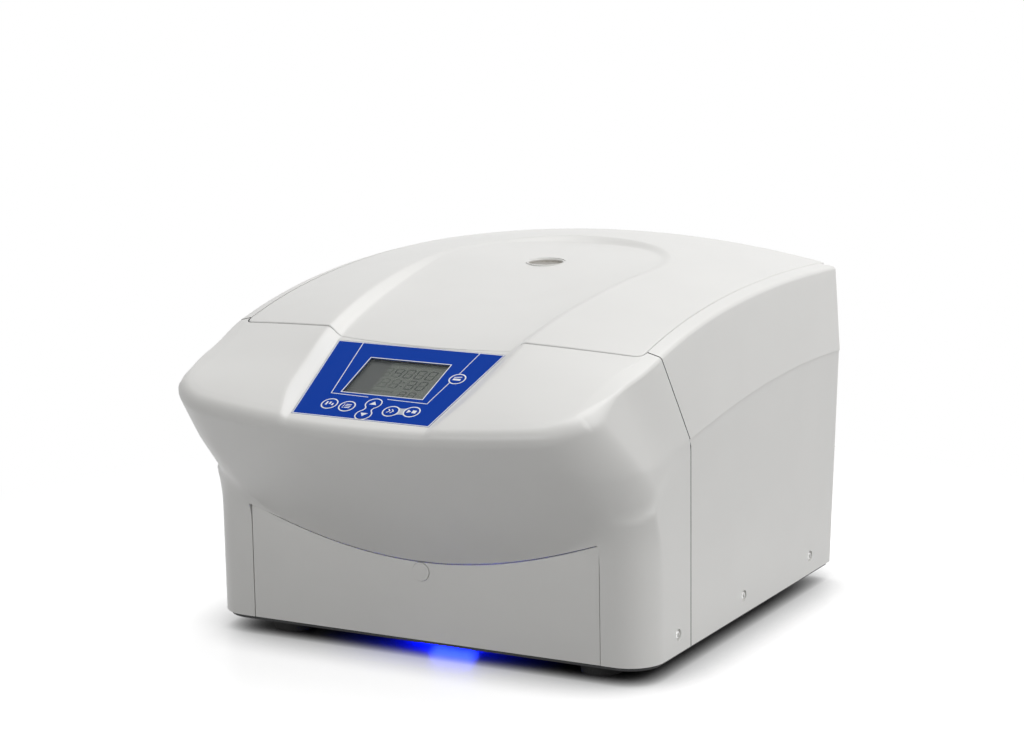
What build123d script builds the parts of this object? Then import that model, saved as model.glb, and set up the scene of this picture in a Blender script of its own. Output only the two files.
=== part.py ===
"""Bench-top laboratory centrifuge with a hinged lid and a four-bucket swing-out rotor.

Frame: millimetres, +X to the right, +Y to the back, +Z up.  The origin lies on the bench,
at the centre of the machine's outline.
"""
import os
from math import cos, radians, sin

from build123d import *

os.makedirs("parts", exist_ok=True)

# ----------------------------------------------------------------------------------------
# Driving dimensions
# ----------------------------------------------------------------------------------------
overall_width = 370.0          # across the crease of the side walls
overall_depth = 456.0          # from the console's nose to the hinge barrels
foot_height = 14.0
wall = 3.0                     # plastic covers
seam_gap = 1.0                 # dark line between two covers
lid_gap = 0.8                  # round the lid
fit_gap = 0.3                  # between pieces that only stand next to each other
running_gap = 0.05             # radial play of a shaft or pin in its bore

bottom = foot_height           # lower edge of the covers

# Body outline in front view: half widths, and how far the crease stands out
half_crease = overall_width / 2
half_bottom = half_crease - 1.5
half_top = half_crease - 8.0
crease_step = 0.7
half_lid = half_top - 11.5

# Body outline in side view (heights are above the covers' lower edge)
hinge_reach = 7.7              # hinge barrels stand this far behind the top of the back
nose_reach = 91.74              # console's nose in front of the lower front
nose_y = -overall_depth / 2
front_y = nose_y + nose_reach
back_top_y = overall_depth / 2 - hinge_reach
back_top_h = 234.0
back_crease_h = back_top_h - 66.6
back_crease_y = back_top_y - 9.8
back_bottom_y = back_top_y - 25.4
body_length = back_top_y - front_y

# The roof, crease and lid seam rise from the front to the middle: one row for each
# station, as its share of the body's length, then how far the crease, the edge and the
# lid seam lie below the back's top
roof_rows = [
    (-0.0365, 94.0, 30.5, 28.0),
    (0.1038, 86.0, 15.7, 12.6),
    (0.272, 75.5, 4.5, 1.4),
    (0.4684, 66.5, -2.6, -5.3),
    (0.6647, 62.8, -3.7, -7.2),
    (0.847, 64.0, -2.4, -5.2),
    (1.0349, 67.5, 2.0, -0.5),
]
roof_stations = [
    (share * body_length, back_top_h - crease, back_top_h - edge, back_top_h - seam)
    for share, crease, edge, seam in roof_rows
]
crown_rise = 15.1              # lid's centre above its side seams

# Seam between front cover and rear cover, on the side
seam_bottom_y = front_y + 70.9
seam_top_y = front_y + 38.0
seam_kink_h = back_top_h - 85.5
seam_top_h = 219.8

# Nose and console
console_angle = 22.15          # slope of the keypad's plane
keypad_top_y = front_y + 7.4
keypad_top_h = back_top_h - 16.7
column_corner = 26.4           # upright front corners
nose_corner = 39.0             # corners of the nose in plan
chin_foot_h = back_top_h - 174.0   # the chin meets the lower front here, at the middle
chin_slope = 0.832             # forward per mm of height
chin_fade = 0.0000026          # the bow lessens by this per mm of height
arc_gap = 0.3                  # between the chin's arc and the panel's opening
lip_radius = 9.0

# Nose in plan: height, half widths at its front and at the seam, and the bow of its face
chin_bow = 0.0012
nose_levels = [
    (chin_foot_h - 3.0, half_crease - 1.0, half_crease - 1.0, chin_bow),
    (back_top_h - 89.0, half_crease - 4.0, half_crease, 0.000974),
    (back_top_h + 26.0, half_crease - 32.4, half_crease - 12.5, 0.00067),
]

# Console's crowned roof: place behind the lower front, edge below the back's top, crown
console_rows = [
    (95.0, 5.0, 19.5),
    (38.0, 17.4, 19.9),
    (7.4, 26.5, 19.5),
    (-27.4, 33.3, 9.0),
    (-62.7, 41.4, 1.2),
    (-93.0, 56.2, 0.3),
    (-115.0, 65.5, 0.2),
]
console_stations = [(place, back_top_h - edge, crown) for place, edge, crown in console_rows]
console_reach = half_crease + 5.0   # half width of the console's roof stations

# Trough that frames the keypad and runs up to the viewing port
trough_top_half = 80.0
trough_end_half = 63.0
trough_wall_angle = 52.0
dish_radius = 97.0
dish_floor_h = back_top_h + 15.6
port_radius = 13.5
port_ring_width = 1.6

# Lid
lid_front_place = 8.8          # the lid's front edge behind the lower front, at the middle
lid_front_bow = 22.0           # its corners lie this much further back
lid_corner = 6.0
lid_skirt = 10.0
back_wall_h = roof_stations[-1][3] - lid_skirt - lid_gap
lid_open_angle = 75.0
deck_h = back_top_h - 36.0      # top of the deck under the lid
deck_thickness = 3.0
liner_h = back_top_h - 30.5     # underside of the lid's inner panel
liner_thickness = 2.5

# Chamber and rotor: the guarded chamber fills the room between the lock and the back
striker_y = front_y + 62.0
bowl_wall = 1.2
guard_gap = 3.6
guard_thickness = 5.0
lock_room = 16.46              # from the striker back to the guard
back_room = 6.1                # behind the guard
guard_radius = (back_bottom_y - wall - back_room - striker_y - lock_room) / 2
port_y = striker_y + lock_room + guard_radius   # viewing port, and the rotor's axis
port_place = port_y - front_y
chamber_radius = guard_radius - guard_thickness - guard_gap - bowl_wall
chamber_floor_h = 86.0
swing_gap = 6.0                # beyond a bucket that has swung out
rotor_pivot_radius = chamber_radius / 2
bucket_radius = 21.0
bucket_wall = 2.0
bucket_drop = chamber_radius - rotor_pivot_radius - swing_gap   # trunnion to the bottom
bucket_rise = 5.0              # from trunnion to its rim
rotor_pivot_h = chamber_floor_h + bucket_drop + 12.0

# The trough's floor in side view: place behind the lower front, and height
trough_floor = [
    (-30, back_top_h - 28.0), (7.4, keypad_top_h), (60, back_top_h - 4.0),
    (120, back_top_h + 6.5), (port_place, dish_floor_h),
    (port_place + 61.0, dish_floor_h + 1.2), (port_place + 129.0, dish_floor_h - 1.1),
]
trunnion_radius = 3.0
trunnion_length = 5.0
shaft_radius = 6.0
hub_radius = 19.0

bucket_side_gap = 1.0
arm_reach = 40.0
arm_width = 16.0
head_reach = rotor_pivot_radius + 6.0   # arm heads reach this far along both axes
hub_height = 16.0
nut_height = 8.0
nut_radius = 12.0

# Motor and its mounting (heights above the covers' lower edge)
motor_low = 8.0
motor_high = 70.0              # top of the carrier plate
motor_radius = 42.0
motor_wall = 4.0
motor_neck = 30.0
neck_rise = 10.0
bearing_radius = 14.0
bearing_height = 7.0
armature_radius = 24.0
air_gap = 0.5
carrier_thickness = 4.0
post_radius = chamber_radius - 14.0
post_width = 16.0
damper_height = 10.0
motor_opening = 36.0           # hole in the bowl's floor
seal_lip = 1.0

# Chamber details
gasket_radius = chamber_radius + 4.0
gasket_width = 5.0
rim_thickness = 1.2
bowl_corner = 10.0
striker_slot = 16.0
window_depth = 1.2
window_thickness = 2.0

# Keypad
keypad_top_half = 69.3
keypad_end_half = 55.9
keypad_length = 94.3
membrane_thickness = 0.8
key_radius = 5.2
key_travel = 0.4
key_gap = 0.15
key_places = {
    "key_set": (-33.0, -78.7),
    "key_program": (-18.0, -79.8),
    "key_up": (0.6, -73.6),
    "key_down": (-0.3, -87.6),
    "key_quick_run": (18.3, -80.5),
    "key_start_stop": (34.3, -78.8),
    "key_lid": (48.0, -34.5),
}
window_width = 66.0
window_height = 44.4
window_centre = (1.3, -40.5)
keypad_ledge = 3.0             # the cover's ledge that carries the membrane
plate_thickness = 1.6
key_flange = 0.8
key_reach = 0.25               # keys stand this far above the membrane
board_thickness = 1.6
board_centre = -51.5
board_length = 79.0
post_places = [(-60.0, -8.0), (60.0, -8.0), (-47.0, -87.0), (47.0, -87.0)]
post_size = 2.0
key_bay = key_radius + key_flange + 0.2    # the backing reaches this far round the lowest key
rocker_pin_radius = 1.5
rocker_play = 0.2

# Access panel and its emergency release
panel_half = half_crease - 38.8
panel_gap = 0.6
release_h = chin_foot_h - 8.0
release_radius = 6.9
release_travel = 8.0
plug_depth = 6.0

# Fittings on the back: places across, and the sizes of their openings
back_fittings_h = 35.0
inlet_x = -140.0
inlet_size = (27.0, 20.0)
switch_x = -100.0
switch_size = (19.0, 26.0)
fuse_x = -68.0
fuse_size = (24.0, 10.0)
back_openings = [
    (inlet_x, inlet_size), (switch_x, switch_size), (fuse_x, fuse_size),
]
flange_thickness = 1.6
flange_rim = 3.0
socket_depth = 16.0
rocker_angle = 7.0
fuse_travel = 14.0
vent_h = 70.0
vent_count = 14
vent_pitch = 12.0
vent_length = 40.0
vent_width = 4.0

# Hinges: two barrels behind the top of the back
barrel_radius = 4.0
hinge_pin_radius = 2.0
hinge_x = 110.0
knuckle = 16.0                 # length of each of a hinge's three knuckles
leaf_thickness = 1.5
leaf_height = 18.0

# Lid lock: a hook that holds the striker, freed by the release plug's cable
striker_width = 20.0
striker_thickness = 3.0
striker_window = 12.0
hook_pivot_y = striker_y - 6.0
hook_pivot_h = deck_h - 54.0
hook_nose_h = deck_h - 23.0
hook_nose_height = 6.0
hook_thickness = 6.0
hook_tail = 18.0
hook_pin_radius = 2.0
hook_angle = 26.4              # from locked to unlocked
cheek_thickness = 2.0
cable_radius = 2.2
wire_radius = 1.0
release_reach = 0.8            # plug stands proud of the access panel

plug_wire = 16.0
cable_bend = 12.0
cable_mouth_y = front_y + 12.0
cable_top_h = hook_pivot_h - release_travel - 6.0

# Base, feet and screws
base_drop = 3.0                # base tray's underside below the covers' lower edge
base_thickness = 2.0
base_flange_h = 19.0
led_y = front_y + 44.5
led_size = (36.0, 16.0)
led_thickness = 3.0
foot_radius = 17.0
foot_x = half_bottom - 52.5
foot_inset_front = 32.0
foot_inset_back = 36.0
side_screw_h = 14.1
side_screw_steps = (50.2, 0.4588 * body_length, 0.8088 * body_length)
screw_head_radius = 4.0
screw_recess = 1.4
screw_radius = 2.0


# ----------------------------------------------------------------------------------------
# Shared outlines
# ----------------------------------------------------------------------------------------
def z(height):
    """Height above the covers' lower edge, as a place in the part's frame."""
    return bottom + height


def side_plane(x):
    """Upright plane at x whose sketch axes are +Y and +Z, extruding towards +X."""
    return Plane(origin=(x, 0, 0), x_dir=(0, 1, 0), z_dir=(1, 0, 0))


def across(points, half_length):
    """Solid of a side-view polygon that runs from -half_length to +half_length in X."""
    with BuildPart() as bar:
        with BuildSketch(side_plane(0)):
            with BuildLine():
                Polyline(*points, close=True)
            make_face()
        extrude(amount=half_length, both=True)
    return bar.part


def body_loft(inset):
    """Full-length body: sides with their crease, edge strips and crowned roof."""
    with BuildPart() as body:
        for place, crease, edge, seam in roof_stations:
            with BuildSketch(Plane.XZ.offset(-(front_y + place))):
                with BuildLine():
                    foot = half_bottom - inset
                    under = half_crease - crease_step - inset
                    over = half_crease - inset
                    top = half_top - inset
                    strip = half_lid
                    base = bottom - inset
                    Polyline(
                        (strip, z(seam) - inset), (top, z(edge) - inset), (over, z(crease)),
                        (under, z(crease) - 0.01), (foot, base), (-foot, base),
                        (-under, z(crease) - 0.01), (-over, z(crease)),
                        (-top, z(edge) - inset), (-strip, z(seam) - inset),
                    )
                    ThreePointArc(
                        (-strip, z(seam) - inset), (0, z(seam) + crown_rise - inset),
                        (strip, z(seam) - inset),
                    )
                make_face()
        loft()
    return body.part


def back_line(inset):
    """Side-view points of the leaning back, from below the lower edge to above the roof."""
    lean = (back_top_y - back_crease_y) / (back_top_h - back_crease_h)
    rise = 60
    return [
        (back_bottom_y - inset, bottom - inset),
        (back_crease_y - inset, z(back_crease_h)),
        (back_top_y - inset, z(back_top_h)),
        (back_top_y - inset + lean * rise, z(back_top_h) + rise),
    ]


def seam_line(shift):
    """Side-view points of the seam between the covers, moved back by shift."""
    lean = (seam_bottom_y - seam_top_y) / (seam_top_h - seam_kink_h)
    rise = 80
    return [
        (seam_bottom_y + shift, bottom - 20),
        (seam_bottom_y + shift, z(seam_kink_h)),
        (seam_top_y + shift - lean * rise, z(seam_top_h) + rise),
    ]


def seam_y(height):
    """Place of the covers' seam at a height."""
    lean = (seam_bottom_y - seam_top_y) / (seam_top_h - seam_kink_h)
    return seam_bottom_y - lean * max(height - seam_kink_h, 0)


def plan_outline(height, half_front, half_back, front, bow, corner, inset, low=0.0):
    """Plan outline of the front of the machine, as a sketch low below the given height."""
    rear = seam_bottom_y + 20
    middle = seam_y(height) + 8
    side_front = half_front - inset
    side_back = half_back - inset
    face = front + inset
    with BuildSketch(Plane.XY.offset(z(height) - low)) as outline:
        with BuildLine():
            corner_y = face + bow * side_front ** 2
            Polyline(
                (side_front, corner_y), (side_back, middle), (side_back, rear),
                (-side_back, rear), (-side_back, middle), (-side_front, corner_y),
            )
            ThreePointArc(
                (-side_front, corner_y), (0, face), (side_front, corner_y),
            )
        make_face()
        fillet(outline.vertices().group_by(Axis.Y)[0], corner - inset)
    return outline.sketch


def column(inset):
    """Lower front, with upright rounded corners."""
    with BuildPart() as lower:
        add(plan_outline(0, half_bottom, half_bottom, front_y, 0.00001, column_corner,
                         inset, inset))
        add(plan_outline(seam_kink_h, half_crease, half_crease, front_y, 0.00001,
                         column_corner, inset))
        loft(ruled=True)
    return lower.part


def nose(inset):
    """Overhanging console body: its chin leans forward from the lower front."""
    with BuildPart() as upper:
        for height, half_front, half_back, bow in nose_levels:
            face = front_y - chin_slope * (height - chin_foot_h)
            add(plan_outline(height, half_front, half_back, face, bow, nose_corner,
                             inset * 1.3))
        loft(ruled=True)
    return upper.part


def console_loft(drop):
    """Everything below the console's crowned roof."""
    with BuildPart() as roof:
        for place, edge, crown in console_stations:
            with BuildSketch(Plane.XZ.offset(-(front_y + place))):
                with BuildLine():
                    half = console_reach
                    Polyline(
                        (half, z(edge) - drop), (half, bottom - 10),
                        (-half, bottom - 10), (-half, z(edge) - drop),
                    )
                    ThreePointArc(
                        (-half, z(edge) - drop), (0, z(edge) + crown - drop),
                        (half, z(edge) - drop),
                    )
                make_face()
        loft()
    return roof.part


def in_front_of_seam(shift):
    """Everything in front of the seam between the covers."""
    line = seam_line(shift)
    return across(line + [(2 * nose_y, line[-1][1]), (2 * nose_y, line[0][1])], overall_width)


def behind_seam(shift, inset):
    """Everything between the seam and the leaning back."""
    return across(seam_line(shift) + back_line(inset)[::-1] + [(back_bottom_y - inset, bottom - 20)],
                  overall_width)


def slab(low, high, grow):
    """Lid outline in plan, grown by grow, between two heights."""
    half = half_lid + grow
    face = lid_front_y - grow
    corner_y = lid_corner_y - grow
    with BuildPart() as plate:
        with BuildSketch(Plane.XY.offset(z(low))) as plan:
            with BuildLine():
                rear = overall_depth
                Polyline((half, corner_y), (half, rear), (-half, rear), (-half, corner_y))
                ThreePointArc((-half, corner_y), (0, face), (half, corner_y))
            make_face()
            fillet(plan.vertices().group_by(Axis.Y)[0], lid_corner + grow)
        extrude(amount=high - low)
    return plate.part


def lid_loft(inset):
    """Crowned lid with straight sides, as deep as its skirt."""
    half = half_lid - inset
    with BuildPart() as crowned:
        for place, crease, edge, seam in roof_stations:
            with BuildSketch(Plane.XZ.offset(-(front_y + place))):
                with BuildLine():
                    low = z(seam) - lid_skirt - inset
                    Polyline((half, z(seam) - inset), (half, low), (-half, low),
                             (-half, z(seam) - inset))
                    ThreePointArc(
                        (-half, z(seam) - inset), (0, z(seam) + crown_rise - inset),
                        (half, z(seam) - inset),
                    )
                make_face()
        loft()
    return crowned.part


def roof_below(drop):
    """Everything below the lid's crown, lowered by drop."""
    half = half_lid
    with BuildPart() as filled:
        for place, crease, edge, seam in roof_stations:
            with BuildSketch(Plane.XZ.offset(-(front_y + place))):
                with BuildLine():
                    Polyline((half, z(seam) - drop), (half, bottom), (-half, bottom),
                             (-half, z(seam) - drop))
                    ThreePointArc(
                        (-half, z(seam) - drop), (0, z(seam) + crown_rise - drop),
                        (half, z(seam) - drop),
                    )
                make_face()
        loft()
    return filled.part


def trough(grow, drop):
    """Keyhole-shaped hollow in the lid: a dish round the port and a tongue to the front."""
    half = trough_top_half + grow
    with BuildPart() as hollow:
        with BuildSketch(side_plane(0)):
            with BuildLine():
                floor = Spline(
                    *[(front_y + place, z(height) - drop) for place, height in trough_floor]
                )
                rear, front = floor @ 1, floor @ 0
                Polyline(rear, (rear.X, z(400)), (front.X, z(400)), front)
            make_face()
        extrude(amount=half_crease, both=True)
        with BuildSketch(Plane.XY.offset(bottom)):
            with Locations((0, port_y)):
                Circle(dish_radius + grow)
            with BuildLine():
                Polyline((half, front_y + trough_floor[0][0]), (dish_radius + grow, port_y),
                         (-dish_radius - grow, port_y), (-half, front_y + trough_floor[0][0]),
                         close=True)
            make_face()
        extrude(amount=z(400), mode=Mode.INTERSECT)
    return hollow.part


def back_y(height, inset=0.0):
    """Place of the back's outer face at a height."""
    if height > back_crease_h:
        lean = (back_top_y - back_crease_y) / (back_top_h - back_crease_h)
        return back_top_y - lean * (back_top_h - height) - inset
    lean = (back_crease_y - back_bottom_y) / back_crease_h
    return back_bottom_y + lean * height - inset


lid_front_y = front_y + lid_front_place
lid_corner_y = lid_front_y + lid_front_bow

console = Plane(
    origin=(0, keypad_top_y, z(keypad_top_h)), x_dir=(1, 0, 0),
    z_dir=(0, -sin(radians(console_angle)), cos(radians(console_angle))),
)


def on_back(x, height):
    """Plane on the back's outer face, looking out, with its sketch upright."""
    low, high = (0, back_crease_h) if height < back_crease_h else (back_crease_h, back_top_h)
    up = Vector(0, back_y(high) - back_y(low), high - low)
    return Plane(origin=(x, back_y(height), z(height)), x_dir=(-1, 0, 0),
                 z_dir=up.cross(Vector(-1, 0, 0)) * -1)


def keypad_face(grow, out=0.0, further=0.0):
    """Trapezoid of the keypad, out above the console's plane, as a sketch.

    further lengthens it at the top, along its slanting sides.
    """
    slant = (keypad_top_half - keypad_end_half) / keypad_length
    wide = keypad_top_half + grow + slant * further
    with BuildSketch(console.offset(out)) as face:
        with BuildLine():
            Polyline(
                (wide, grow + further), (keypad_end_half + grow, -keypad_length - grow),
                (-keypad_end_half - grow, -keypad_length - grow), (-wide, grow + further),
                close=True,
            )
        make_face()
    return face.sketch


def keypad_trough(grow):
    """Hollow above the keypad with walls that slope outwards."""
    with BuildPart() as hollow:
        add(keypad_face(fit_gap + grow, -grow, 40))
        extrude(amount=60, taper=-trough_wall_angle)
    return hollow.part


# ----------------------------------------------------------------------------------------
# Covers
# ----------------------------------------------------------------------------------------
side_screws_y = [front_y + step for step in side_screw_steps]


def screw_cut(y, hole_radius):
    """Recess and through hole for a screw in both side walls."""
    with BuildPart() as cut:
        for side in (-1, 1):
            face = Plane(origin=(side * half_bottom, y, z(side_screw_h)), z_dir=(side, 0, 0))
            with BuildSketch(face.offset(-screw_recess)):
                Circle(screw_head_radius + fit_gap)
            extrude(amount=10)
            with BuildSketch(face.offset(-12)):
                Circle(hole_radius)
            extrude(amount=12)
    return cut.part


with BuildPart() as rear_cover:
    add(body_loft(0))
    add(behind_seam(seam_gap / 2, 0), mode=Mode.INTERSECT)
    add(body_loft(wall) & behind_seam(-seam_gap - 20, wall), mode=Mode.SUBTRACT)
    with BuildSketch(Plane.XY.offset(z(back_wall_h))):
        with Locations((0, 0)):
            Rectangle(2 * (half_lid + lid_gap), 2 * overall_depth)
    extrude(amount=100, mode=Mode.SUBTRACT)
    add(slab(deck_h, 400, lid_gap) & across(
        [(nose_y, 0), (port_y, 0), (port_y, 400), (nose_y, 400)], overall_width),
        mode=Mode.SUBTRACT)
    for screw_y in side_screws_y[1:]:
        add(screw_cut(screw_y, screw_radius + fit_gap), mode=Mode.SUBTRACT)
    for place, size in back_openings:
        with BuildSketch(on_back(place, back_fittings_h).offset(-2 * wall)):
            Rectangle(*size)
        extrude(amount=4 * wall, mode=Mode.SUBTRACT)
    with BuildSketch(on_back(0, vent_h).offset(-2 * wall)):
        with GridLocations(vent_pitch, 1, vent_count, 1):
            SlotOverall(vent_length, vent_width, rotation=90)
    extrude(amount=4 * wall, mode=Mode.SUBTRACT)
rear_cover.part.label = "rear_cover"
export_step(rear_cover.part, "parts/rear_cover.step")


def front_solid(inset):
    """Front cover's outline as a solid, its nose rounded; inset moves every face inwards."""
    with BuildPart() as front:
        add(column(inset))
        add(nose(inset))
        add(console_loft(inset), mode=Mode.INTERSECT)
        add(across([(2 * nose_y, 0), (2 * nose_y, 400), (seam_bottom_y + 15, 400),
                    (seam_bottom_y + 15, 0)], overall_width), mode=Mode.INTERSECT)
        roof = front.faces().filter_by(lambda f: f.normal_at().Z > 0.5).sort_by(SortBy.AREA)[-1]
        lip = [edge for edge in roof.edges() if (edge @ 0.5).Y < seam_bottom_y + 10]
        fillet(lip, lip_radius - inset)
    return front.part


def rod(start, end, radius):
    """Solid cylinder between two points."""
    axis = Vector(*end) - Vector(*start)
    return Solid.make_cylinder(radius, axis.length, Plane(origin=start, z_dir=axis))


def box_between(low, high):
    """Solid box between its lowest and highest corners."""
    size = Vector(*high) - Vector(*low)
    return Solid.make_box(*size, Plane(origin=low))


def on_console(x, y, out=0.0):
    """Plane parallel to the keypad with its origin at a place on it, out above its face."""
    return console.offset(out).shift_origin(console.offset(out).from_local_coords((x, y, 0)))


def chin_line_h(x):
    """Height of the arc in which the chin leaves the lower front."""
    rise = x * x / chin_slope
    return chin_foot_h + chin_bow * rise / (1 + chin_fade * rise)


def panel_block(shrink):
    """Block of the access panel below the chin's arc, shrunk by shrink."""
    half = panel_half - shrink
    low = bottom - 5
    places = [half * step / 4 for step in range(-4, 5)]
    with BuildPart() as block:
        with BuildSketch(Plane.XZ.offset(-front_y - 2 * wall)):
            with BuildLine():
                arc = Spline(*[(x, z(chin_line_h(x)) - arc_gap - shrink) for x in places])
                Polyline(arc @ 1, (half, low), (-half, low), arc @ 0)
            make_face()
        extrude(amount=3 * wall)
    return block.part


with BuildPart() as front_cover:
    add(front_solid(0))
    add(in_front_of_seam(-seam_gap / 2), mode=Mode.INTERSECT)
    add(front_solid(wall) - slab(deck_h, 400, lid_gap + wall) - keypad_trough(wall),
        mode=Mode.SUBTRACT)
    add(slab(deck_h - deck_thickness - fit_gap, 400, lid_gap), mode=Mode.SUBTRACT)
    add(panel_block(0), mode=Mode.SUBTRACT)
    add(keypad_trough(0), mode=Mode.SUBTRACT)
    add(keypad_face(fit_gap))
    extrude(amount=-membrane_thickness, mode=Mode.SUBTRACT)
    add(keypad_face(-keypad_ledge))
    extrude(amount=-20, mode=Mode.SUBTRACT)
    with BuildSketch(console):
        with Locations(key_places["key_down"]):
            Circle(key_bay + fit_gap)
    extrude(amount=-20, mode=Mode.SUBTRACT)
    add(screw_cut(side_screws_y[0], screw_radius + fit_gap), mode=Mode.SUBTRACT)
front_cover.part.label = "front_cover"
export_step(front_cover.part, "parts/front_cover.step")

with BuildPart() as access_panel:
    add((column(0) - column(wall)) & panel_block(panel_gap))
    with BuildSketch(Plane.XZ.offset(-front_y - wall - 1)):
        with Locations((0, z(release_h))):
            Circle(release_radius + fit_gap)
    extrude(amount=2 * wall + 2, mode=Mode.SUBTRACT)
access_panel.part.label = "access_panel"
export_step(access_panel.part, "parts/access_panel.step")


# ----------------------------------------------------------------------------------------
# Lid
# ----------------------------------------------------------------------------------------
with BuildPart() as lid_outer:
    add(lid_loft(0))
    add(slab(0, 400, 0), mode=Mode.INTERSECT)
    add(behind_seam(-overall_depth, 0), mode=Mode.INTERSECT)
    hollow = lid_loft(wall) & slab(0, 400, -wall) & behind_seam(-overall_depth, wall)
    add(hollow - trough(wall, wall), mode=Mode.SUBTRACT)
    add(trough(0, 0), mode=Mode.SUBTRACT)
    add(rod((0, port_y, bottom), (0, port_y, z(400)), port_radius + port_ring_width),
        mode=Mode.SUBTRACT)
lid_outer.part.label = "lid_outer"
export_step(lid_outer.part, "parts/lid_outer.step")

liner_inset = wall + fit_gap
with BuildPart() as lid_inner:
    add(slab(liner_h, 400, -liner_inset))
    add(roof_below(liner_inset + 1), mode=Mode.INTERSECT)
    add(behind_seam(-overall_depth, liner_inset), mode=Mode.INTERSECT)
    add(slab(liner_h + liner_thickness, 400, -liner_inset - liner_thickness)
        & behind_seam(-overall_depth, liner_inset + liner_thickness), mode=Mode.SUBTRACT)
    with BuildSketch(Plane.XY.offset(z(liner_h))):
        with Locations((0, port_y)):
            Circle(port_radius + 2 * port_ring_width)
    extrude(amount=dish_floor_h - wall - fit_gap - liner_h)
    add(trough(liner_inset, liner_inset), mode=Mode.SUBTRACT)
    add(rod((0, port_y, bottom), (0, port_y, z(400)), port_radius), mode=Mode.SUBTRACT)
lid_inner.part.label = "lid_inner"
export_step(lid_inner.part, "parts/lid_inner.step")

with BuildPart() as port_ring:
    with BuildSketch(Plane.XY.offset(z(dish_floor_h) - wall)):
        with Locations((0, port_y)):
            Circle(port_radius + port_ring_width - fit_gap / 3)
            Circle(port_radius, mode=Mode.SUBTRACT)
    extrude(amount=wall)
    top_edges = port_ring.edges().filter_by(GeomType.CIRCLE).group_by(Axis.Z)[-1]
    fillet(top_edges.sort_by(SortBy.RADIUS)[0], port_ring_width / 3)
port_ring.part.label = "port_ring"
export_step(port_ring.part, "parts/port_ring.step")

with BuildPart() as port_window:
    with BuildSketch(Plane.XY.offset(z(dish_floor_h) - window_depth - window_thickness)):
        with Locations((0, port_y)):
            Circle(port_radius - fit_gap / 3)
    extrude(amount=window_thickness)
port_window.part.label = "port_window"
export_step(port_window.part, "parts/port_window.step")

with BuildPart() as lid_gasket:
    with BuildSketch(Plane.XY.offset(z(deck_h) + rim_thickness + fit_gap)):
        with Locations((0, port_y)):
            Circle(gasket_radius + gasket_width)
            Circle(gasket_radius, mode=Mode.SUBTRACT)
    extrude(amount=liner_h - deck_h - rim_thickness - fit_gap)
lid_gasket.part.label = "lid_gasket"
export_step(lid_gasket.part, "parts/lid_gasket.step")

striker_low_h = hook_nose_h - 8.0
with BuildPart() as lid_striker:
    add(box_between((-striker_width / 2, striker_y - striker_thickness / 2, z(striker_low_h)),
                    (striker_width / 2, striker_y + striker_thickness / 2, z(liner_h))))
    add(box_between((-striker_window / 2, striker_y - striker_thickness, z(hook_nose_h) - fit_gap),
                    (striker_window / 2, striker_y + striker_thickness,
                     z(hook_nose_h) + 2 * hook_nose_height)), mode=Mode.SUBTRACT)
    add(box_between((-striker_width, striker_y - striker_thickness / 2 - 8,
                     z(liner_h) - striker_thickness),
                    (striker_width, striker_y + striker_thickness / 2 + 8, z(liner_h))))
lid_striker.part.label = "lid_striker"
export_step(lid_striker.part, "parts/lid_striker.step")

# ----------------------------------------------------------------------------------------
# Hinges
# ----------------------------------------------------------------------------------------
hinge_y = overall_depth / 2 - barrel_radius
hinge_h = back_wall_h + lid_gap / 2


def leaf(low, high, inner, outer, x):
    """Hinge leaf on the back between two heights, a strip from inner to outer about x."""
    with BuildPart() as plate:
        with BuildSketch(side_plane(x + inner)):
            with BuildLine():
                Polyline(
                    (back_y(low), z(low)), (back_y(low) + leaf_thickness, z(low)),
                    (back_y(high) + leaf_thickness, z(high)), (back_y(high), z(high)),
                    close=True,
                )
            make_face()
        extrude(amount=outer - inner)
    return plate.part


def knuckle_block(inner, outer, x, low, high):
    """Hinge knuckle about the pin with a web between two heights in to the leaf."""
    web = box_between((x + inner, back_y(high) + fit_gap, z(low)), (x + outer, hinge_y, z(high)))
    barrel = rod((x + inner, hinge_y, z(hinge_h)), (x + outer, hinge_y, z(hinge_h)), barrel_radius)
    return web + barrel


leaf_top_h = back_wall_h - 2.0
with BuildPart() as hinge_brackets:
    for side in (-1, 1):
        centre = side * hinge_x
        add(leaf(leaf_top_h - leaf_height, leaf_top_h - 4, -1.5 * knuckle, 1.5 * knuckle, centre))
        for inner, outer in ((-1.5 * knuckle, -knuckle / 2 - fit_gap),
                             (knuckle / 2 + fit_gap, 1.5 * knuckle)):
            add(leaf(leaf_top_h - leaf_height, leaf_top_h, inner, outer, centre))
            add(knuckle_block(inner, outer, centre, hinge_h - barrel_radius, hinge_h))
        add(rod((centre - 2 * knuckle, hinge_y, z(hinge_h)),
                (centre + 2 * knuckle, hinge_y, z(hinge_h)), hinge_pin_radius), mode=Mode.SUBTRACT)
hinge_brackets.part.label = "hinge_brackets"
export_step(hinge_brackets.part, "parts/hinge_brackets.step")

with BuildPart() as lid_leaves:
    for side in (-1, 1):
        centre = side * hinge_x
        add(leaf(back_wall_h + lid_gap + 0.5, back_wall_h + lid_gap + 9, -knuckle / 2, knuckle / 2,
                 centre))
        add(knuckle_block(-knuckle / 2, knuckle / 2, centre, hinge_h, hinge_h + barrel_radius))
        add(rod((centre - knuckle, hinge_y, z(hinge_h)), (centre + knuckle, hinge_y, z(hinge_h)),
                hinge_pin_radius + running_gap), mode=Mode.SUBTRACT)
lid_leaves.part.label = "lid_leaves"
export_step(lid_leaves.part, "parts/lid_leaves.step")

with BuildPart() as hinge_pins:
    for side in (-1, 1):
        add(rod((side * hinge_x - 1.5 * knuckle, hinge_y, z(hinge_h)),
                (side * hinge_x + 1.5 * knuckle, hinge_y, z(hinge_h)), hinge_pin_radius))
hinge_pins.part.label = "hinge_pins"
export_step(hinge_pins.part, "parts/hinge_pins.step")

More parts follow.
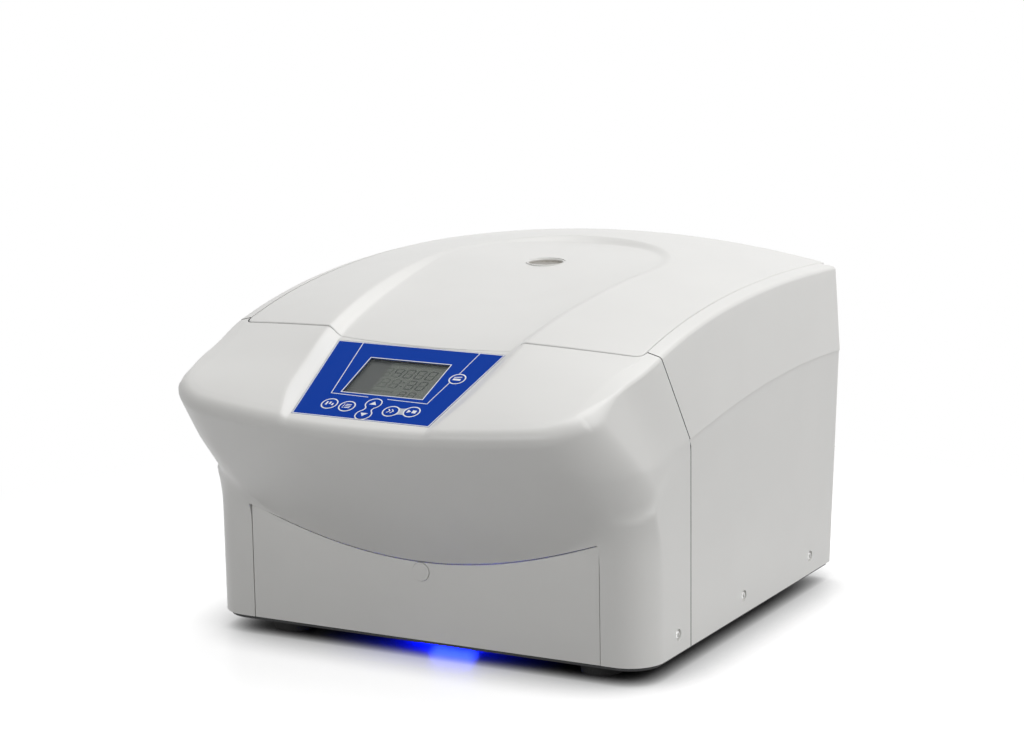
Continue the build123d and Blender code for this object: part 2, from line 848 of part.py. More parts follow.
# ----------------------------------------------------------------------------------------
# Chamber, guard and deck
# ----------------------------------------------------------------------------------------
bowl_outer = chamber_radius + bowl_wall
rim_radius = gasket_radius + gasket_width + 2
deck_low = z(deck_h - deck_thickness)

with BuildPart() as deck:
    add(slab(deck_h - deck_thickness, deck_h, lid_gap + wall))
    add(box_between((-half_crease, seam_top_y + 12, deck_low),
                    (half_crease, overall_depth / 2, z(deck_h))))
    add(body_loft(wall + fit_gap), mode=Mode.INTERSECT)
    add(behind_seam(-overall_depth, wall + fit_gap), mode=Mode.INTERSECT)
    with BuildSketch(Plane.XY.offset(deck_low)):
        with Locations((0, port_y)):
            Circle(bowl_outer + fit_gap)
        with Locations((0, striker_y)):
            RectangleRounded(striker_width + 8, striker_slot, 3)
    extrude(amount=deck_thickness, mode=Mode.SUBTRACT)
deck.part.label = "deck"
export_step(deck.part, "parts/deck.step")

with BuildPart() as chamber_bowl:
    with BuildSketch(side_plane(0)):
        with BuildLine():
            foot_z = z(chamber_floor_h)
            Polyline(
                (port_y + motor_opening, foot_z), (port_y + bowl_outer - bowl_corner, foot_z),
                (port_y + bowl_outer, foot_z + bowl_corner), (port_y + bowl_outer, z(deck_h)),
                (port_y + rim_radius, z(deck_h)), (port_y + rim_radius, z(deck_h) + rim_thickness),
                (port_y + chamber_radius, z(deck_h) + rim_thickness),
                (port_y + chamber_radius, foot_z + bowl_corner + bowl_wall / 2),
                (port_y + bowl_outer - bowl_corner - bowl_wall / 2, foot_z + bowl_wall),
                (port_y + motor_opening, foot_z + bowl_wall), close=True,
            )
        make_face()
    revolve(axis=Axis((0, port_y, 0), (0, 0, 1)))
chamber_bowl.part.label = "chamber_bowl"
export_step(chamber_bowl.part, "parts/chamber_bowl.step")

guard_inner = bowl_outer + guard_gap
base_top = bottom - base_drop + base_thickness
with BuildPart() as guard_ring:
    with BuildSketch(Plane.XY.offset(base_top)):
        with Locations((0, port_y)):
            Circle(guard_inner + guard_thickness)
            Circle(guard_inner, mode=Mode.SUBTRACT)
    extrude(amount=deck_low - base_top)
guard_ring.part.label = "guard_ring"
export_step(guard_ring.part, "parts/guard_ring.step")

# ----------------------------------------------------------------------------------------
# Motor
# ----------------------------------------------------------------------------------------
def ring(radius, bore, low, high):
    """Upright ring about the rotor's axis between two heights."""
    with BuildPart() as hoop:
        with BuildSketch(Plane.XY.offset(z(low))):
            with Locations((0, port_y)):
                Circle(radius)
                if bore:
                    Circle(bore, mode=Mode.SUBTRACT)
        extrude(amount=high - low)
    return hoop.part


carrier_low = motor_high - carrier_thickness

with BuildPart() as motor_posts:
    with BuildSketch(Plane.XY.offset(base_top)):
        with Locations((0, port_y)):
            with PolarLocations(post_radius, 4, start_angle=45):
                Circle(post_width / 2)
    extrude(amount=z(carrier_low) - damper_height - base_top)
motor_posts.part.label = "motor_posts"
export_step(motor_posts.part, "parts/motor_posts.step")

with BuildPart() as motor_dampers:
    with BuildSketch(Plane.XY.offset(z(carrier_low) - damper_height)):
        with Locations((0, port_y)):
            with PolarLocations(post_radius, 4, start_angle=45):
                Circle(post_width / 2 + 2)
    extrude(amount=damper_height)
motor_dampers.part.label = "motor_dampers"
export_step(motor_dampers.part, "parts/motor_dampers.step")

with BuildPart() as motor_carrier:
    add(ring(guard_inner - fit_gap, motor_neck, carrier_low, motor_high))
motor_carrier.part.label = "motor_carrier"
export_step(motor_carrier.part, "parts/motor_carrier.step")

bearing_bore = shaft_radius + running_gap
with BuildPart() as motor_housing:
    add(ring(motor_radius, motor_radius - motor_wall, motor_low, carrier_low))
    add(ring(motor_radius, bearing_radius, motor_low, motor_low + bearing_height))
    add(ring(motor_radius, bearing_radius, carrier_low - motor_wall, carrier_low))
    add(ring(motor_neck, bearing_radius, carrier_low - motor_wall, motor_high + neck_rise))
motor_housing.part.label = "motor_housing"
export_step(motor_housing.part, "parts/motor_housing.step")

stator_low = motor_low + bearing_height + 4
stator_high = carrier_low - motor_wall - 4
with BuildPart() as motor_stator:
    add(ring(motor_radius - motor_wall, armature_radius + air_gap, stator_low, stator_high))
motor_stator.part.label = "motor_stator"
export_step(motor_stator.part, "parts/motor_stator.step")

with BuildPart() as motor_armature:
    add(ring(armature_radius, shaft_radius, stator_low, stator_high))
motor_armature.part.label = "motor_armature"
export_step(motor_armature.part, "parts/motor_armature.step")

neck_top = motor_high + neck_rise
with BuildPart() as motor_bearings:
    add(ring(bearing_radius, bearing_bore, motor_low, motor_low + bearing_height))
    add(ring(bearing_radius, bearing_bore, neck_top - bearing_height, neck_top))
motor_bearings.part.label = "motor_bearings"
export_step(motor_bearings.part, "parts/motor_bearings.step")

hub_low = rotor_pivot_h - hub_height / 2
hub_high = rotor_pivot_h + hub_height / 2
with BuildPart() as motor_shaft:
    add(ring(shaft_radius, 0, motor_low + fit_gap, hub_high + nut_height + 2))
    add(ring(shaft_radius + 3, 0, hub_low - 4, hub_low))
motor_shaft.part.label = "motor_shaft"
export_step(motor_shaft.part, "parts/motor_shaft.step")

with BuildPart() as bowl_seal:
    add(ring(motor_opening - fit_gap, motor_neck - seal_lip, motor_high + neck_rise,
             chamber_floor_h + bowl_wall))
bowl_seal.part.label = "bowl_seal"
export_step(bowl_seal.part, "parts/bowl_seal.step")

# ----------------------------------------------------------------------------------------
# Swing-out rotor and its buckets
# ----------------------------------------------------------------------------------------
def rotor_plane(turn):
    """Level plane through the trunnions with its origin on the rotor's axis, turned about it."""
    level = Location((0, port_y, z(rotor_pivot_h)))
    return Plane(level * Location((0, 0, 0), (0, 0, turn)))


arm_low = bucket_radius + bucket_side_gap
slot_depth = trunnion_length + bucket_side_gap
with BuildPart() as rotor_yoke:
    with BuildSketch(Plane.XY.offset(z(hub_low))):
        with Locations((0, port_y)):
            Circle(hub_radius)
        for turn in range(4):
            with Locations(Location((0, port_y, 0), (0, 0, 90 * turn))):
                Polygon((arm_low, arm_low), (head_reach, arm_low),
                        (head_reach, arm_low + slot_depth + 2),
                        (arm_low + slot_depth + 2, head_reach), (arm_low, head_reach),
                        align=None)
                Rectangle(arm_reach, arm_width, rotation=45, align=(Align.MIN, Align.CENTER))
        with Locations((0, port_y)):
            Circle(shaft_radius, mode=Mode.SUBTRACT)
    extrude(amount=hub_height)
    for turn in range(4):
        turned = rotor_plane(90 * turn)
        for side in (-1, 1):
            start = turned.from_local_coords((rotor_pivot_radius, side * arm_low, 0))
            end = turned.from_local_coords((rotor_pivot_radius, side * (arm_low + slot_depth), 0))
            slot_radius = trunnion_radius + running_gap
            add(rod(start, end, slot_radius), mode=Mode.SUBTRACT)
            face = Plane(origin=start, x_dir=turned.x_dir, z_dir=end - start)
            with BuildSketch(face):
                rise = hub_height
                Rectangle(2 * slot_radius, rise,
                          align=(Align.CENTER, Align.MIN if face.y_dir.Z > 0 else Align.MAX))
            extrude(amount=slot_depth, mode=Mode.SUBTRACT)
rotor_yoke.part.label = "rotor_yoke"
export_step(rotor_yoke.part, "parts/rotor_yoke.step")

with BuildPart() as rotor_nut:
    with BuildSketch(Plane.XY.offset(z(hub_high))):
        with Locations((0, port_y)):
            RegularPolygon(nut_radius, 12)
            Circle(shaft_radius, mode=Mode.SUBTRACT)
    extrude(amount=nut_height)
rotor_nut.part.label = "rotor_nut"
export_step(rotor_nut.part, "parts/rotor_nut.step")

for number in range(4):
    place = rotor_plane(90 * number)
    hang = Plane(origin=place.from_local_coords((rotor_pivot_radius, 0, -bucket_drop)),
                 x_dir=place.x_dir, z_dir=(0, 0, 1))
    with BuildPart() as bucket:
        with BuildSketch(hang):
            Circle(bucket_radius)
        extrude(amount=bucket_drop + bucket_rise)
        fillet(bucket.edges().filter_by(GeomType.CIRCLE).group_by(Axis.Z)[0], bucket_radius / 4)
        for side in (-1, 1):
            start = place.from_local_coords((rotor_pivot_radius, 0, 0))
            end = place.from_local_coords(
                (rotor_pivot_radius, side * (bucket_radius + trunnion_length), 0))
            add(rod(start, end, trunnion_radius))
        with BuildSketch(hang.offset(bucket_wall)):
            Circle(bucket_radius - bucket_wall)
        extrude(amount=bucket_drop + bucket_rise, mode=Mode.SUBTRACT)
    bucket.part.label = f"bucket_{number + 1}"
    export_step(bucket.part, f"parts/bucket_{number + 1}.step")

# ----------------------------------------------------------------------------------------
# Lid lock and its emergency release
# ----------------------------------------------------------------------------------------
cheek_x = striker_width / 2 + 1.5
shelf_low = z(cable_top_h) - cheek_thickness
cable_back_y = hook_pivot_y - hook_tail
with BuildPart() as lock_frame:
    for side in (-1, 1):
        inner, outer = sorted((side * cheek_x, side * (cheek_x + cheek_thickness)))
        add(box_between((inner, hook_pivot_y - 8, shelf_low),
                        (outer, hook_pivot_y + 12, deck_low)))
        inner, outer = sorted((side * cheek_x, side * (cheek_x + 12)))
        add(box_between((inner, hook_pivot_y - 8, deck_low - cheek_thickness),
                        (outer, hook_pivot_y + 12, deck_low)))
    add(box_between((-cheek_x, hook_pivot_y + 12 - cheek_thickness, shelf_low),
                    (cheek_x, hook_pivot_y + 12, z(hook_pivot_h) + 20)))
    add(box_between((-cheek_x, cable_back_y - 6, shelf_low),
                    (cheek_x, hook_pivot_y + 12, z(cable_top_h))))
    add(rod((-cheek_x - cheek_thickness, hook_pivot_y, z(hook_pivot_h)),
            (cheek_x + cheek_thickness, hook_pivot_y, z(hook_pivot_h)), hook_pin_radius))
    add(rod((0, cable_back_y, shelf_low - 1), (0, cable_back_y, z(cable_top_h) + 1),
            cable_radius), mode=Mode.SUBTRACT)
lock_frame.part.label = "lock_frame"
export_step(lock_frame.part, "parts/lock_frame.step")

# The hook is stored unlocked: it stands turned about its pin, clear of the striker
hook_top_h = hook_nose_h + hook_nose_height
nose_tip_y = striker_y + striker_thickness / 2 + 3
hook_line = Axis((0, hook_pivot_y, z(hook_pivot_h)), (1, 0, 0))
with BuildPart() as lock_hook:
    with BuildSketch(side_plane(-hook_thickness / 2)) as shape:
        with BuildLine():
            arm = 3.5
            Polyline(
                (hook_pivot_y - arm, z(hook_pivot_h)), (hook_pivot_y - arm, z(hook_top_h)),
                (nose_tip_y, z(hook_top_h)), (nose_tip_y, z(hook_nose_h)),
                (hook_pivot_y + arm - 1, z(hook_nose_h)), (hook_pivot_y + arm - 1, z(hook_pivot_h)),
                close=True,
            )
        make_face()
        with Locations((hook_pivot_y, z(hook_pivot_h))):
            Circle(2.2 * hook_pin_radius)
            Rectangle(hook_tail, 4, align=(Align.MAX, Align.CENTER))
            Circle(hook_pin_radius + running_gap, mode=Mode.SUBTRACT)
    add(extrude(shape.sketch, amount=hook_thickness, mode=Mode.PRIVATE)
        .rotate(hook_line, hook_angle))
lock_hook.part.label = "lock_hook"
export_step(lock_hook.part, "parts/lock_hook.step")

with BuildPart() as lock_solenoid:
    add(box_between((cheek_x + cheek_thickness, hook_pivot_y - 8, z(hook_pivot_h) + 6),
                    (cheek_x + cheek_thickness + 26, hook_pivot_y + 12, z(hook_pivot_h) + 30)))
lock_solenoid.part.label = "lock_solenoid"
export_step(lock_solenoid.part, "parts/lock_solenoid.step")

with BuildPart() as release_cable:
    with BuildLine() as route:
        FilletPolyline(
            (0, cable_back_y, z(cable_top_h)), (0, cable_back_y, z(release_h)),
            (0, cable_mouth_y, z(release_h)), radius=cable_bend,
        )
    with BuildSketch(Plane.XY.offset(z(cable_top_h))):
        with Locations((0, cable_back_y)):
            Circle(cable_radius)
    sweep(path=route.wires()[0])
    add(rod((0, cable_mouth_y, z(release_h)), (0, cable_mouth_y + plug_wire - 3, z(release_h)),
            wire_radius + running_gap), mode=Mode.SUBTRACT)
release_cable.part.label = "release_cable"
export_step(release_cable.part, "parts/release_cable.step")

with BuildPart() as release_plug:
    face_y = front_y - release_reach
    add(rod((0, face_y, z(release_h)), (0, face_y + plug_depth, z(release_h)), release_radius))
    fillet(release_plug.edges().filter_by(GeomType.CIRCLE).group_by(Axis.Y)[0], release_reach / 2)
    add(rod((0, face_y, z(release_h)), (0, cable_mouth_y + plug_wire - 6, z(release_h)),
            wire_radius))
release_plug.part.label = "release_plug"
export_step(release_plug.part, "parts/release_plug.step")

# ----------------------------------------------------------------------------------------
# Keypad and display
# ----------------------------------------------------------------------------------------
plate_low = -membrane_thickness - plate_thickness
key_low = plate_low - key_flange
board_top = key_low - key_travel - 3.5
window_place = Location((window_centre[0], window_centre[1], 0))


def keypad_sheet(grow, top, thickness):
    """Sheet parallel to the console with openings for the keys and the window."""
    with BuildPart() as sheet:
        add(keypad_face(grow, top))
        extrude(amount=-thickness)
        with BuildSketch(console.offset(top)):
            with Locations(*key_places.values()):
                Circle(key_radius + key_gap)
            with Locations(window_centre):
                Rectangle(window_width, window_height)
        extrude(amount=-thickness, mode=Mode.SUBTRACT)
    return sheet.part


with BuildPart() as keypad_membrane:
    add(keypad_sheet(0, 0, membrane_thickness))
keypad_membrane.part.label = "keypad_membrane"
export_step(keypad_membrane.part, "parts/keypad_membrane.step")

with BuildPart() as keypad_plate:
    add(keypad_sheet(-keypad_ledge - 2 * fit_gap, -membrane_thickness, plate_thickness))
    with BuildSketch(console.offset(-membrane_thickness)):
        with Locations(key_places["key_down"]):
            Circle(key_bay)
            Circle(key_radius + key_gap, mode=Mode.SUBTRACT)
    extrude(amount=-plate_thickness)
    with BuildSketch(console.offset(board_top)):
        with Locations(*post_places):
            Circle(post_size)
    extrude(amount=-membrane_thickness - board_top)
keypad_plate.part.label = "keypad_plate"
export_step(keypad_plate.part, "parts/keypad_plate.step")

for name, place in key_places.items():
    with BuildPart() as key:
        with BuildSketch(console.offset(plate_low)):
            with Locations(place):
                Circle(key_radius)
        extrude(amount=key_reach - plate_low)
        with BuildSketch(console.offset(plate_low)):
            with Locations(place):
                Circle(key_radius + key_flange)
        extrude(amount=-key_flange)
    key.part.label = name
    export_step(key.part, f"parts/{name}.step")

with BuildPart() as lcd_window:
    with BuildSketch(console):
        with Locations(window_centre):
            Rectangle(window_width - key_gap, window_height - key_gap)
    extrude(amount=-membrane_thickness)
lcd_window.part.label = "lcd_window"
export_step(lcd_window.part, "parts/lcd_window.step")

with BuildPart() as lcd_module:
    with BuildSketch(console.offset(board_top)):
        with Locations(window_centre):
            Rectangle(window_width + 5, window_height + 5)
    extrude(amount=plate_low - board_top)
lcd_module.part.label = "lcd_module"
export_step(lcd_module.part, "parts/lcd_module.step")

with BuildPart() as display_board:
    with BuildSketch(console.offset(board_top)):
        with Locations((0, board_centre)):
            Rectangle(2 * keypad_end_half, board_length)
    extrude(amount=-board_thickness)
    with BuildSketch(console.offset(board_top)):
        with Locations(*key_places.values()):
            Circle(2)
    extrude(amount=key_low - key_travel - key_gap - board_top)
display_board.part.label = "display_board"
export_step(display_board.part, "parts/display_board.step")

# ----------------------------------------------------------------------------------------
# Power entry on the back, boards inside
# ----------------------------------------------------------------------------------------
def back_box(x, size, outer, inner):
    """Box on the back's plane between two distances from its face."""
    with BuildPart() as block:
        with BuildSketch(on_back(x, back_fittings_h).offset(inner)):
            Rectangle(*size)
        extrude(amount=outer - inner)
    return block.part


def back_frame(x, size, depth):
    """Flange outside the cover and a body that passes through its opening."""
    rim = (size[0] + 2 * flange_rim, size[1] + 2 * flange_rim)
    body = (size[0] - 2 * fit_gap, size[1] - 2 * fit_gap)
    return back_box(x, rim, flange_thickness, 0) + back_box(x, body, flange_thickness, -depth)


socket = (inlet_size[0] - 4, inlet_size[1] - 4)
with BuildPart() as mains_inlet:
    add(back_frame(inlet_x, inlet_size, socket_depth + 4))
    add(back_box(inlet_x, socket, 10, -socket_depth), mode=Mode.SUBTRACT)
    with BuildSketch(on_back(inlet_x, back_fittings_h).offset(-socket_depth)):
        with Locations((-7, -1.5), (0, 2.5), (7, -1.5)):
            Rectangle(2, 4)
    extrude(amount=socket_depth - 3)
mains_inlet.part.label = "mains_inlet"
export_step(mains_inlet.part, "parts/mains_inlet.step")

rocker_well = (switch_size[0] - 4, switch_size[1] - 4)
with BuildPart() as switch_frame:
    add(back_frame(switch_x, switch_size, 14))
    add(back_box(switch_x, rocker_well, 10, -9), mode=Mode.SUBTRACT)
    pivot = on_back(switch_x, back_fittings_h).offset(-2)
    reach = switch_size[0] / 2
    add(rod(pivot.from_local_coords((-reach + 1, 0, 0)), pivot.from_local_coords((reach - 1, 0, 0)),
            rocker_pin_radius + rocker_play), mode=Mode.SUBTRACT)
switch_frame.part.label = "switch_frame"
export_step(switch_frame.part, "parts/switch_frame.step")

tilted = pivot.rotated((rocker_angle, 0, 0))
with BuildPart() as power_rocker:
    with BuildSketch(tilted.offset(-3.2)):
        Rectangle(rocker_well[0] - 2 * fit_gap, rocker_well[1] - 2)
    extrude(amount=8.0)
    add(rod(pivot.from_local_coords((-reach + 1.2, 0, 0)),
            pivot.from_local_coords((reach - 1.2, 0, 0)), rocker_pin_radius))
power_rocker.part.label = "power_rocker"
export_step(power_rocker.part, "parts/power_rocker.step")

fuse_well = (fuse_size[0] - 4, fuse_size[1] - 3)
with BuildPart() as fuse_holder:
    add(back_frame(fuse_x, fuse_size, 24))
    add(back_box(fuse_x, fuse_well, 10, -22), mode=Mode.SUBTRACT)
fuse_holder.part.label = "fuse_holder"
export_step(fuse_holder.part, "parts/fuse_holder.step")

with BuildPart() as fuse_drawer:
    add(back_box(fuse_x, (fuse_well[0] - 2 * fit_gap, fuse_well[1] - 2 * fit_gap),
                 flange_thickness, -20))
    add(back_box(fuse_x, (fuse_size[0], fuse_size[1] - 2), 2 * flange_thickness,
                 flange_thickness))
fuse_drawer.part.label = "fuse_drawer"
export_step(fuse_drawer.part, "parts/fuse_drawer.step")

board_x, board_y = 83.5 - half_bottom, front_y + 43.0
with BuildPart() as power_board:
    with BuildSketch(Plane.XY.offset(base_top)):
        with Locations((board_x, board_y)):
            with GridLocations(110, 44, 2, 2):
                Circle(3)
    extrude(amount=8)
    with BuildSketch(Plane.XY.offset(base_top + 8)):
        with Locations((board_x, board_y)):
            Rectangle(124, 58)
    extrude(amount=board_thickness)
    with BuildSketch(Plane.XY.offset(base_top + 8 + board_thickness)):
        with Locations((board_x - 36, board_y), (board_x - 8, board_y)):
            Circle(11)
        with Locations((board_x + 30, board_y)):
            Rectangle(30, 36)
    extrude(amount=30)
power_board.part.label = "power_board"
export_step(power_board.part, "parts/power_board.step")

# ----------------------------------------------------------------------------------------
# Base, light window, feet and screws
# ----------------------------------------------------------------------------------------
base_low = bottom - base_drop
base_half = half_bottom - wall - fit_gap
base_front = front_y + wall + fit_gap
base_back = back_bottom_y - wall - fit_gap


def base_plan(inset, low, high):
    """Base tray's plan between two heights, with its rounded front corners."""
    with BuildPart() as block:
        with BuildSketch(Plane.XY.offset(low)) as plan:
            with Locations((0, (base_front + base_back) / 2)):
                Rectangle(2 * (base_half - inset), base_back - base_front - 2 * inset)
            fillet(plan.vertices().group_by(Axis.Y)[0], column_corner - wall - inset)
        extrude(amount=high - low)
    return block.part


foot_places = [(-foot_x, front_y + foot_inset_front), (foot_x, front_y + foot_inset_front),
               (-foot_x, back_bottom_y - foot_inset_back), (foot_x, back_bottom_y - foot_inset_back)]

with BuildPart() as base_tray:
    add(base_plan(0, base_low, z(base_flange_h)))
    add(base_plan(base_thickness, base_top, z(base_flange_h) + 1), mode=Mode.SUBTRACT)
    with BuildSketch(Plane.XY.offset(base_low)):
        with Locations((0, led_y)):
            Rectangle(*led_size)
    extrude(amount=base_thickness, mode=Mode.SUBTRACT)
    add(box_between((-6, cable_mouth_y + 2, base_top),
                    (6, cable_mouth_y + 2 + base_thickness, z(release_h) + 6)))
    add(rod((0, cable_mouth_y, z(release_h)), (0, cable_mouth_y + 10, z(release_h)),
            cable_radius), mode=Mode.SUBTRACT)
    for screw_y in side_screws_y:
        add(rod((-half_crease, screw_y, z(side_screw_h)), (half_crease, screw_y, z(side_screw_h)),
                screw_radius), mode=Mode.SUBTRACT)
base_tray.part.label = "base_tray"
export_step(base_tray.part, "parts/base_tray.step")

with BuildPart() as led_window:
    with BuildSketch(Plane.XY.offset(base_low)):
        with Locations((0, led_y)):
            Rectangle(led_size[0] - fit_gap, led_size[1] - fit_gap)
    extrude(amount=base_thickness)
    with BuildSketch(Plane.XY.offset(base_top)):
        with Locations((0, led_y)):
            Rectangle(led_size[0] + 6, led_size[1] + 6)
    extrude(amount=led_thickness)
led_window.part.label = "led_window"
export_step(led_window.part, "parts/led_window.step")

for number, place in enumerate(foot_places, start=1):
    with BuildPart() as foot:
        with BuildSketch(Plane.XY) as tread:
            with Locations(place):
                Circle(foot_radius - 2)
        with BuildSketch(Plane.XY.offset(base_low)) as crown:
            with Locations(place):
                Circle(foot_radius)
        loft()
    foot.part.label = f"foot_{number}"
    export_step(foot.part, f"parts/foot_{number}.step")

with BuildPart() as side_screws:
    for side in (-1, 1):
        for screw_y in side_screws_y:
            seat = side * (half_bottom - screw_recess)
            head = Plane(origin=(seat, screw_y, z(side_screw_h)), z_dir=(side, 0, 0))
            with BuildSketch(head):
                Circle(screw_head_radius)
            extrude(amount=screw_recess)
            add(rod((seat, screw_y, z(side_screw_h)),
                    (side * (base_half - base_thickness - 3), screw_y, z(side_screw_h)),
                    screw_radius))
side_screws.part.label = "side_screws"
export_step(side_screws.part, "parts/side_screws.step")
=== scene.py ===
"""Dressing for the bench-top laboratory centrifuge: moulded covers, keypad, display, floor.

Lengths in the shape functions are millimetres: x to the right, d behind the lower front,
h above the covers' lower edge.  Meshes are in metres, in the frame of the solids.
"""
from math import atan2, cos, pi, radians, sin, sqrt, tan

import bmesh
import bpy
import numpy as np
from mathutils import Matrix, Vector


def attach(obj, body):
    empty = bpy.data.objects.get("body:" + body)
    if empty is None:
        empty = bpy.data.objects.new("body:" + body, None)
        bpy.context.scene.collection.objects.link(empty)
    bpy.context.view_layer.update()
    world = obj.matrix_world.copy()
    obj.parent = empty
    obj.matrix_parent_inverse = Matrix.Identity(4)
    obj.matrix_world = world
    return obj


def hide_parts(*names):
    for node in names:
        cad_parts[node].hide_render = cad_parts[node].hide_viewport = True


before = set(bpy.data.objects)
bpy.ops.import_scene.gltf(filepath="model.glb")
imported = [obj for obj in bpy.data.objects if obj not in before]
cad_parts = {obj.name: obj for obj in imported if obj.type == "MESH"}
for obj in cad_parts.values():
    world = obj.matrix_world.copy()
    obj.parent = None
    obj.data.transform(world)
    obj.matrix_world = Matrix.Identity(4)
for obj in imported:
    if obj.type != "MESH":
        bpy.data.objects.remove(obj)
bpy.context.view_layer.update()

# ---- Dimensions shared with the solids ----
MM = 0.001
BOTTOM = 14.0
FRONT = -136.26
WALL = 3.0
HALF_BOTTOM = 183.5
HALF_CREASE = 185.0
HALF_TOP = 177.0
CREASE_STEP = 0.7

SEAM_D = 70.9
SEAM_TOP_D = 38.0
SEAM_TOP_H = 219.8
SEAM_GAP = 1.0
KINK_H = 148.5
PANEL_HALF = 146.2
LED_D = 44.5

HALF_LID = 165.5
LID_FRONT = 8.8
LID_BOW = 22.0
LID_CORNER = 6.0
LID_GAP = 0.8
LID_SKIRT = 10.0
CROWN = 15.0
PORT_D = 200.26
PORT_HOLE = 15.2
PORT_CUT = (200, 300)
DISH_RADIUS = 97.0

BACK_D = 331.16
BACK_EDGE_D = 357.0
BEHIND_ALL = 400.0
BACK_CREASE_D = 346.76
BACK_CREASE_H = 167.4
BACK_WALL = 223.7
LEAN = 0.1471

KEYPAD_SLOPE = tan(radians(22.15))
KEYPAD_D = 7.4
KEYPAD_H = 217.3
KEYPAD_TOP_HALF = 69.3
KEYPAD_END_HALF = 55.9
KEYPAD_LENGTH = 94.3
KEYS = {
    "key_set": (-33.0, -78.7), "key_program": (-18.0, -79.8), "key_up": (0.6, -73.6),
    "key_down": (-0.3, -87.6), "key_quick_run": (18.3, -80.5), "key_start_stop": (34.3, -78.8),
    "key_lid": (48.0, -34.5),
}
KEY_TOP = 0.25
MODULE_TOP = -2.4
WINDOW_CENTRE = (1.3, -40.5)
WINDOW_SIZE = (66.0, 44.4)

SCREW_H = 14.1
SCREW_RECESS = 1.4
RECESS_RADIUS = 4.3
FRONT_SCREW_D = 50.2
REAR_SCREWS_D = (163.6, 288.4)
# Openings of the back: middle, width and height; their middles share one height
BACK_OPENINGS = [(-140, 27, 20), (-100, 19, 26), (-68, 24, 10)]
OPENINGS_H = 35
# Upright vents of the back
VENT_COUNT, VENT_PITCH, VENT_H, VENT_WIDTH, VENT_HEIGHT = 14, 12, 70, 4, 40

# From front to back: place, then heights of the sides' crease, their edge and the lid's side
ROOF = [
    (-13, 140.0, 203.5, 206.0), (37, 148.0, 218.3, 221.4), (97, 158.5, 229.5, 232.6),
    (167, 167.5, 236.6, 239.3), (237, 171.2, 237.7, 241.2), (302, 170.0, 236.4, 239.2),
    (369, 166.5, 232.0, 234.5),
]
# From front to back: place, height of the console's edge, and its crown over that
CONSOLE = [
    (-115.0, 168.5, 0.2), (-93.0, 177.8, 0.3), (-62.7, 192.6, 1.2), (-27.4, 200.7, 9.0),
    (7.4, 207.5, 19.5), (38.0, 216.6, 19.9), (95.0, 229.0, 19.5),
]
CONSOLE_HALF = 190.0
TROUGH_FLOOR = [(-30, 202.1), (7.4, 217.3), (60, 231.0), (120, 241.0), (201, 249.6),
                (262, 250.8), (330, 248.5)]
# Trough's floor: half width at the keypad's upper edge, its narrowing ahead of that, and a
# place behind it with its half width
TROUGH_HALF, TROUGH_TAPER = 69.8, 13.4 / 87.3
TROUGH_HALF_LID = (60, 75.5)
RIDGE_HALF = [(-110, 58.0), (-80.8, 64.1), (-62.4, 71.4), (-27.6, 77.6),
              (-2.7, 80.3), (30, 83.2), (PORT_D, DISH_RADIUS)]
DISH_WALL = 8.0

# Chin: where it leaves the lower front, how steeply it leans out and how it bows in plan
CHIN_FOOT, CHIN_SLOPE, CHIN_BOW, CHIN_FADE = 60.0, 0.832, 0.0012, 0.0000026
CHIN_HALF = 166.0
# Nose: half widths at three levels, at its front and where it meets the sides
NOSE_LEVELS, NOSE_FRONT, NOSE_BACK = [60, 145, 260], [184.0, 181.0, 152.6], [184.0, 185.0, 172.0]
# Where the nose's sides end; the wall's rays start from there too
NOSE_BACK_D = 90.9
NOSE_ROUND, LOWER_ROUND, CREASE_ROUND = 39.0, 26.4, 5.0
NOSE_BLEND = 60.0
# Underside of the nose, a plane across the lower front, and its soft joint with the chin
UNDER_H, UNDER_SLOPE, UNDER_COSINE = 102.0, 0.53, 0.88
JOINT_MIDDLE, JOINT_SIDE, JOINT_FROM, JOINT_RUN = 0.5, 17.5, 112, 55
# Rounding of the lip: least, gain towards the front, and where and how fast it grows
LIP_LEAST, LIP_GAIN, LIP_FROM, LIP_RUN = 2.4, 9.0, -16, 40
# Round the nose the wall starts this share of it down, elsewhere all of it
NOSE_DROP, NOSE_DROP_D = 0.77, -60
# Where the trough's hollow starts inside the lip, and the run to its full depth
HOLLOW_START, HOLLOW_RUN = 1, 8
# Falling margin along the lip, narrower where the lid's corner comes near it
BAND, BAND_FALL, BAND_PINCH, PINCH_COLUMNS = 14.0, 0.06, 3.4, 16

# Rounds of the lid's rim and of the rear cover, and the strip beside the lid
RIM = 1.3
CORNER = 4.0
TOP_ROUND = 2.5
STRIP = HALF_TOP - HALF_LID - LID_GAP
NOTCH_HALF = HALF_LID + LID_GAP - 0.05
ROUND_WEIGHT = 0.72
# Places that depend on themselves are found in a few rounds, from a start
ROUNDS, LID_START_D, REAR_START_D = 5, 40.0, 200.0
# Round the console's two tight corners only a share of the wall is left, within a reach
THIN_SPOTS = [(-163, 32, 219), (163, 32, 219)]
THIN_SHARE, THIN_REACH = 0.04, 30.0


# ---- Curves and outlines ----
def smooth_curve(rows, column=1):
    """Curve through a few points, as steep at each as its neighbours suggest."""
    xs = np.array([row[0] for row in rows], float)
    ys = np.array([row[column] for row in rows], float)
    slopes = np.gradient(ys, xs)

    def value(at):
        at = np.asarray(at, float)
        k = np.clip(np.searchsorted(xs, at) - 1, 0, len(xs) - 2)
        w = xs[k + 1] - xs[k]
        t = np.clip((at - xs[k]) / w, -0.5, 1.5)
        a, b = ys[k], ys[k + 1]
        ma, mb = slopes[k] * w, slopes[k + 1] * w
        return ((2 * t ** 3 - 3 * t ** 2 + 1) * a + (t ** 3 - 2 * t ** 2 + t) * ma
                + (3 * t ** 2 - 2 * t ** 3) * b + (t ** 3 - t ** 2) * mb)
    return value


